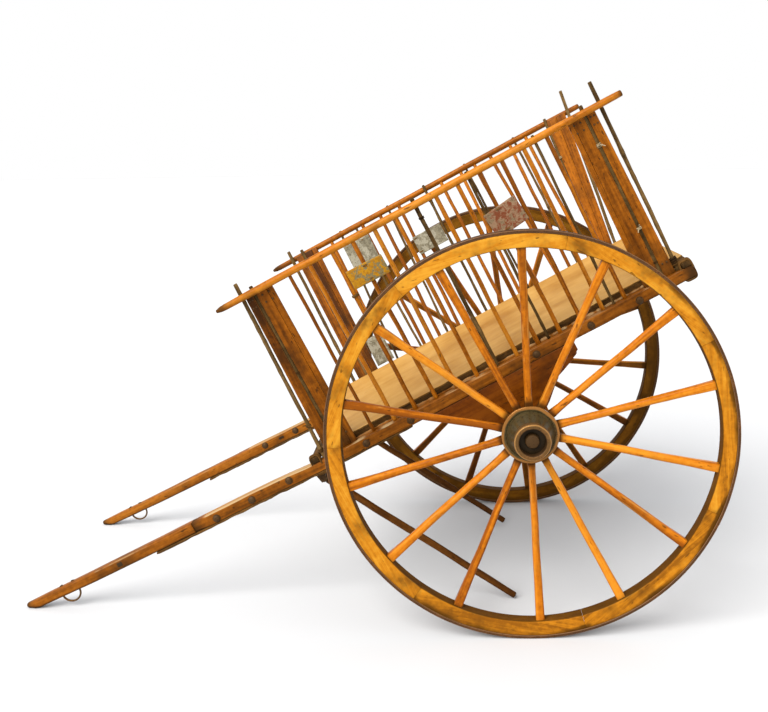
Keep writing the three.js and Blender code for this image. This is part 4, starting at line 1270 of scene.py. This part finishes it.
def plateTies(plate, seed):
    # wire round each upright behind a plate, near its upper and lower edge
    side, (front, rear), (low, high) = (plate[key] for key in ("side", "along", "up"))
    (inAlong, inUp), wire = plateSheet["tieIn"], lashing["wire"]
    for top, foot, radius, _ in panel["uprights"][side] + panel["thinUprights"][side]:
        for v in (low + inUp, high - inUp):
            a = foot + (top - foot) * upShare(v)
            if front + inAlong < a < rear - inAlong:
                yield uprightTie(sides[side], a, v, radius + 1.6 * wire, 2, 3 * wire, wire, seed)


for side, sign in sides.items():
    dark, pale = [], []
    for k, row in enumerate(lashing[side]):
        (pale if "twine" in row else dark).extend(stakeLashing(side, *row, 900 + 20 * k + int(sign)))
    dark += [barRope(sign, *row, 940 + k) for k, row in enumerate(lashing["bars"])]
    for plate in plates.values():
        if plate["side"] == side:
            dark += plateTies(plate, 960)
    if side == "left":
        dark.append(uprightTie(sign, *lashing["knot"], 971))
    makePiece("stake_lashings_" + side, dark, wood["plank"])
    makePiece("twine_ties_" + side, pale, wood["twine"])
print("lashings done")

# Small fittings: clenched ends of the half rings, a patch on the left shaft, and a dark block where a slot
# is let into the right one, its dark colour painted shade
fitting = {"clench": 3.4, "clenchLong": 17.0, "clenchDeep": 6.0, "clenchIn": 4.0,
           # distance of the face from the cart's middle, along, up, half sizes
           "inlay": {"left": (484.3, -1736.0, 243.0, 11.0, 9.0),
                     "right": (432.4, -1162.0, 230.0, 13.0, 5.0)}}


def clenchedEnd(sign, at, lean):
    # a quarter turn out of the shaft's top, then flat along it
    turn = np.linspace(0, np.pi / 2, 8)
    wire, deep = fitting["clench"], fitting["clenchDeep"]
    a = at + lean * fitting["clenchLong"] * (1 - np.cos(turn))
    v = np.interp(at, shaft["at"], shaft["top"]) - deep + (deep + 0.6 * wire) * np.sin(turn)
    path = np.stack([a, np.full_like(a, sign * (shaft["middle"] - fitting["clenchIn"])), v], -1)
    return chassisRod(path, wire, thinRod, tips=(0.5, 1.5), seed=33)


def inlay(sign, face, along, up, halfAlong, halfUp):
    # a shallow dark block that stands a hair proud of the shaft's face; on the right shaft its dark colour
    # is painted shade for a slot
    path = between((along, sign * (face - 3), up), (along, sign * (face + 0.8), up), 4)
    return chassisBar(path, (halfAlong, halfUp), 2.0, squared, *alongUp, tips=(0.3, 0.8), seed=35, soil=0.9)


for side, sign in sides.items():
    ends = [clenchedEnd(sign, shaft["ringAt"] + lean * shaft["ringRadius"], -lean) for lean in (-1, 1)]
    ends.append(inlay(sign, *fitting["inlay"][side]))
    makePiece("shaft_fittings_" + side, ends, iron["bolt"])
print("fittings done")

# Bolts: domed heads on the outer faces of the shafts and beams, and on the inner face of the front lengths
bolts = {"radius": 14.0, "dome": 9.0, "washer": 1.12, "washerThick": 1.8, "outerFace": 488.3,
         "innerFace": 431.7, "nail": 3.4, "nailDome": 2.4, "nailsAt": (290, 905, 936),
         "nailShares": (0.3, 0.7),
         "outer": ((-1291, 226), (-1128, 225), (-957, 224), (-609, 211), (-408, 210), (158, 208), (401, 207),
                   (615, 206)),
         "inner": {"left": ((-1128, 225), (-957, 224)), "right": ((-1252, 233), (-1084, 228))}}


def domedHead(sign, along, up, face, outward, radius, dome):
    # a dome turned about Y: radius * cos and height * sin of the same angle, on a thin washer
    rise = np.linspace(0, np.pi / 2 * 0.97, 7)
    wide, thick = radius * bolts["washer"], bolts["washerThick"]
    outline = [(-0.2, 0.6), (-0.2, wide), (thick - 0.2, wide), (thick, radius)]
    outline += list(zip(thick + (dome - thick) * np.sin(rise), radius * np.cos(rise)))
    part = turned(outline, 20, closed=False, soil=0.15)
    place = np.array([along, sign * face, up])
    flip = np.array([1.0, sign * outward, 1.0])
    return placed(part, lambda points: onChassis(points * flip + place))


def boltHeads(sign, spots, face, outward):
    # one domed head at each (along, up) of a face
    return [domedHead(sign, a, v, face, outward, bolts["radius"], bolts["dome"]) for a, v in spots]


def boardNails(sign, side):
    # pairs of nails near the ends of every corner board, on its outer face
    half = panel["boardThick"] / 2
    for _, top, foot, _ in panel["boards"][side]:
        for v in bolts["nailsAt"]:
            low, high = (foot[n] + (top[n] - foot[n]) * upShare(v) for n in (0, 1))
            face = leanAt(v, insideRail(half * leanCos)) + half
            for share in bolts["nailShares"]:
                a = low + (high - low) * share
                yield domedHead(sign, a, v, face, 1, bolts["nail"], bolts["nailDome"])


for side, sign in sides.items():
    heads = boltHeads(sign, bolts["outer"], bolts["outerFace"], 1)
    heads += boltHeads(sign, bolts["inner"][side], bolts["innerFace"], -1)
    heads += boardNails(sign, side)
    makePiece("bolt_heads_" + side, heads, iron["bolt"])
print("bolts done")

# Plain pale floor, soft light and the photograph's camera
studio = {"floor": (0.55, 0.56, 0.58, 1.0), "floorReach": 60.0, "world": (1.0, 1.0, 1.0, 1.0),
          "worldStrength": 1.0, "key": (-2.6, -4.2, 5.2), "keyAngle": 45.0, "keyStrength": 4.8,
          "fill": (4.5, -3.0, 3.2), "fillSize": 4.0, "fillPower": 30.0,
          "lampColour": (1.0, 0.97, 0.92), "aim": (0.3, 0.0, 0.9)}


def paleFloor():
    # one wide square at height 0
    mesh = bpy.data.meshes.new("floor")
    reach = studio["floorReach"]
    corners = [(-reach, -reach, 0), (reach, -reach, 0), (reach, reach, 0), (-reach, reach, 0)]
    mesh.from_pydata(corners, [], [(0, 1, 2, 3)])
    f = Finish("pale_floor", {"Roughness": 0.9, "Specular IOR Level": 0.1, "Base Color": studio["floor"]})
    mesh.materials.append(f.material)
    ground = bpy.data.objects.new("floor", mesh)
    bpy.context.scene.collection.objects.link(ground)
    ground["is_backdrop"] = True


def stood(name, data, axes, place):
    # a lamp or camera at a place, with its own X, Y and Z along the three axes
    holder = bpy.data.objects.new(name, data)
    bpy.context.scene.collection.objects.link(holder)
    turn = np.eye(4)
    turn[:3, :3] = np.stack(axes, 1)
    turn[:3, 3] = place
    holder.matrix_world = Matrix(turn.tolist())
    return holder


def softLight(name, kind, place, power, **settings):
    # a lamp that shines against its own Z, which points from the aim to the lamp
    lamp = bpy.data.lights.new(name, kind)
    lamp.energy = power
    lamp.color = studio["lampColour"]
    for field, value in settings.items():
        setattr(lamp, field, value)
    back = unit(np.array(place) - np.array(studio["aim"]))
    right = unit(np.cross((0, 0, 1), back))
    stood(name, lamp, (right, np.cross(back, right), back), place)


paleFloor()
softLight("key", "SUN", studio["key"], studio["keyStrength"], angle=math.radians(studio["keyAngle"]))
softLight("fill", "AREA", studio["fill"], studio["fillPower"], size=studio["fillSize"])
world = bpy.data.worlds.new("studio")
world.use_nodes = True
world.node_tree.nodes["Background"].inputs["Color"].default_value = studio["world"]
world.node_tree.nodes["Background"].inputs["Strength"].default_value = studio["worldStrength"]
bpy.context.scene.world = world
bpy.context.scene.view_settings.view_transform = "Standard"

# Camera: place in metres, turns in radians (yaw, tilt, roll from looking along +Y), lens and shift
view = {"place": (0.34582, -4.47276, 1.86039), "yaw": -0.0173, "tilt": 0.0889, "roll": -0.0159,
        "focalPixels": 1020.72, "frameWide": 768.0, "centrePixels": (48.9, -119.4), "sensor": 36.0}


def aimCamera():
    # rows right, down and ahead of the three turns; the lens shift moves the picture's centre
    def aboutZ(angle):
        c, s = math.cos(angle), math.sin(angle)
        return np.array([[c, -s, 0], [s, c, 0], [0, 0, 1]])

    c, s = math.cos(view["tilt"]), math.sin(view["tilt"])
    tilt = np.array([[1, 0, 0], [0, c, -s], [0, s, c]])
    lookAlongY = np.array([[1, 0, 0], [0, 0, -1], [0, 1, 0]])
    right, down, ahead = aboutZ(view["roll"]) @ tilt @ lookAlongY @ aboutZ(view["yaw"])
    camera = bpy.data.cameras.new("camera")
    camera.sensor_width = view["sensor"]
    camera.sensor_fit = "HORIZONTAL"
    camera.lens = view["focalPixels"] / view["frameWide"] * camera.sensor_width
    camera.shift_x = -view["centrePixels"][0] / view["frameWide"]
    camera.shift_y = view["centrePixels"][1] / view["frameWide"]
    bpy.context.scene.camera = stood("camera", camera, (right, -down, -ahead), view["place"])


aimCamera()
boxes = {"cad": [list(map(float, corner)) for corner in cadBox],
         "visual": [list(map(float, corner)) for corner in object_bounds()]}
print("visual box", boxes["visual"], "in CAD box", boxes["cad"])
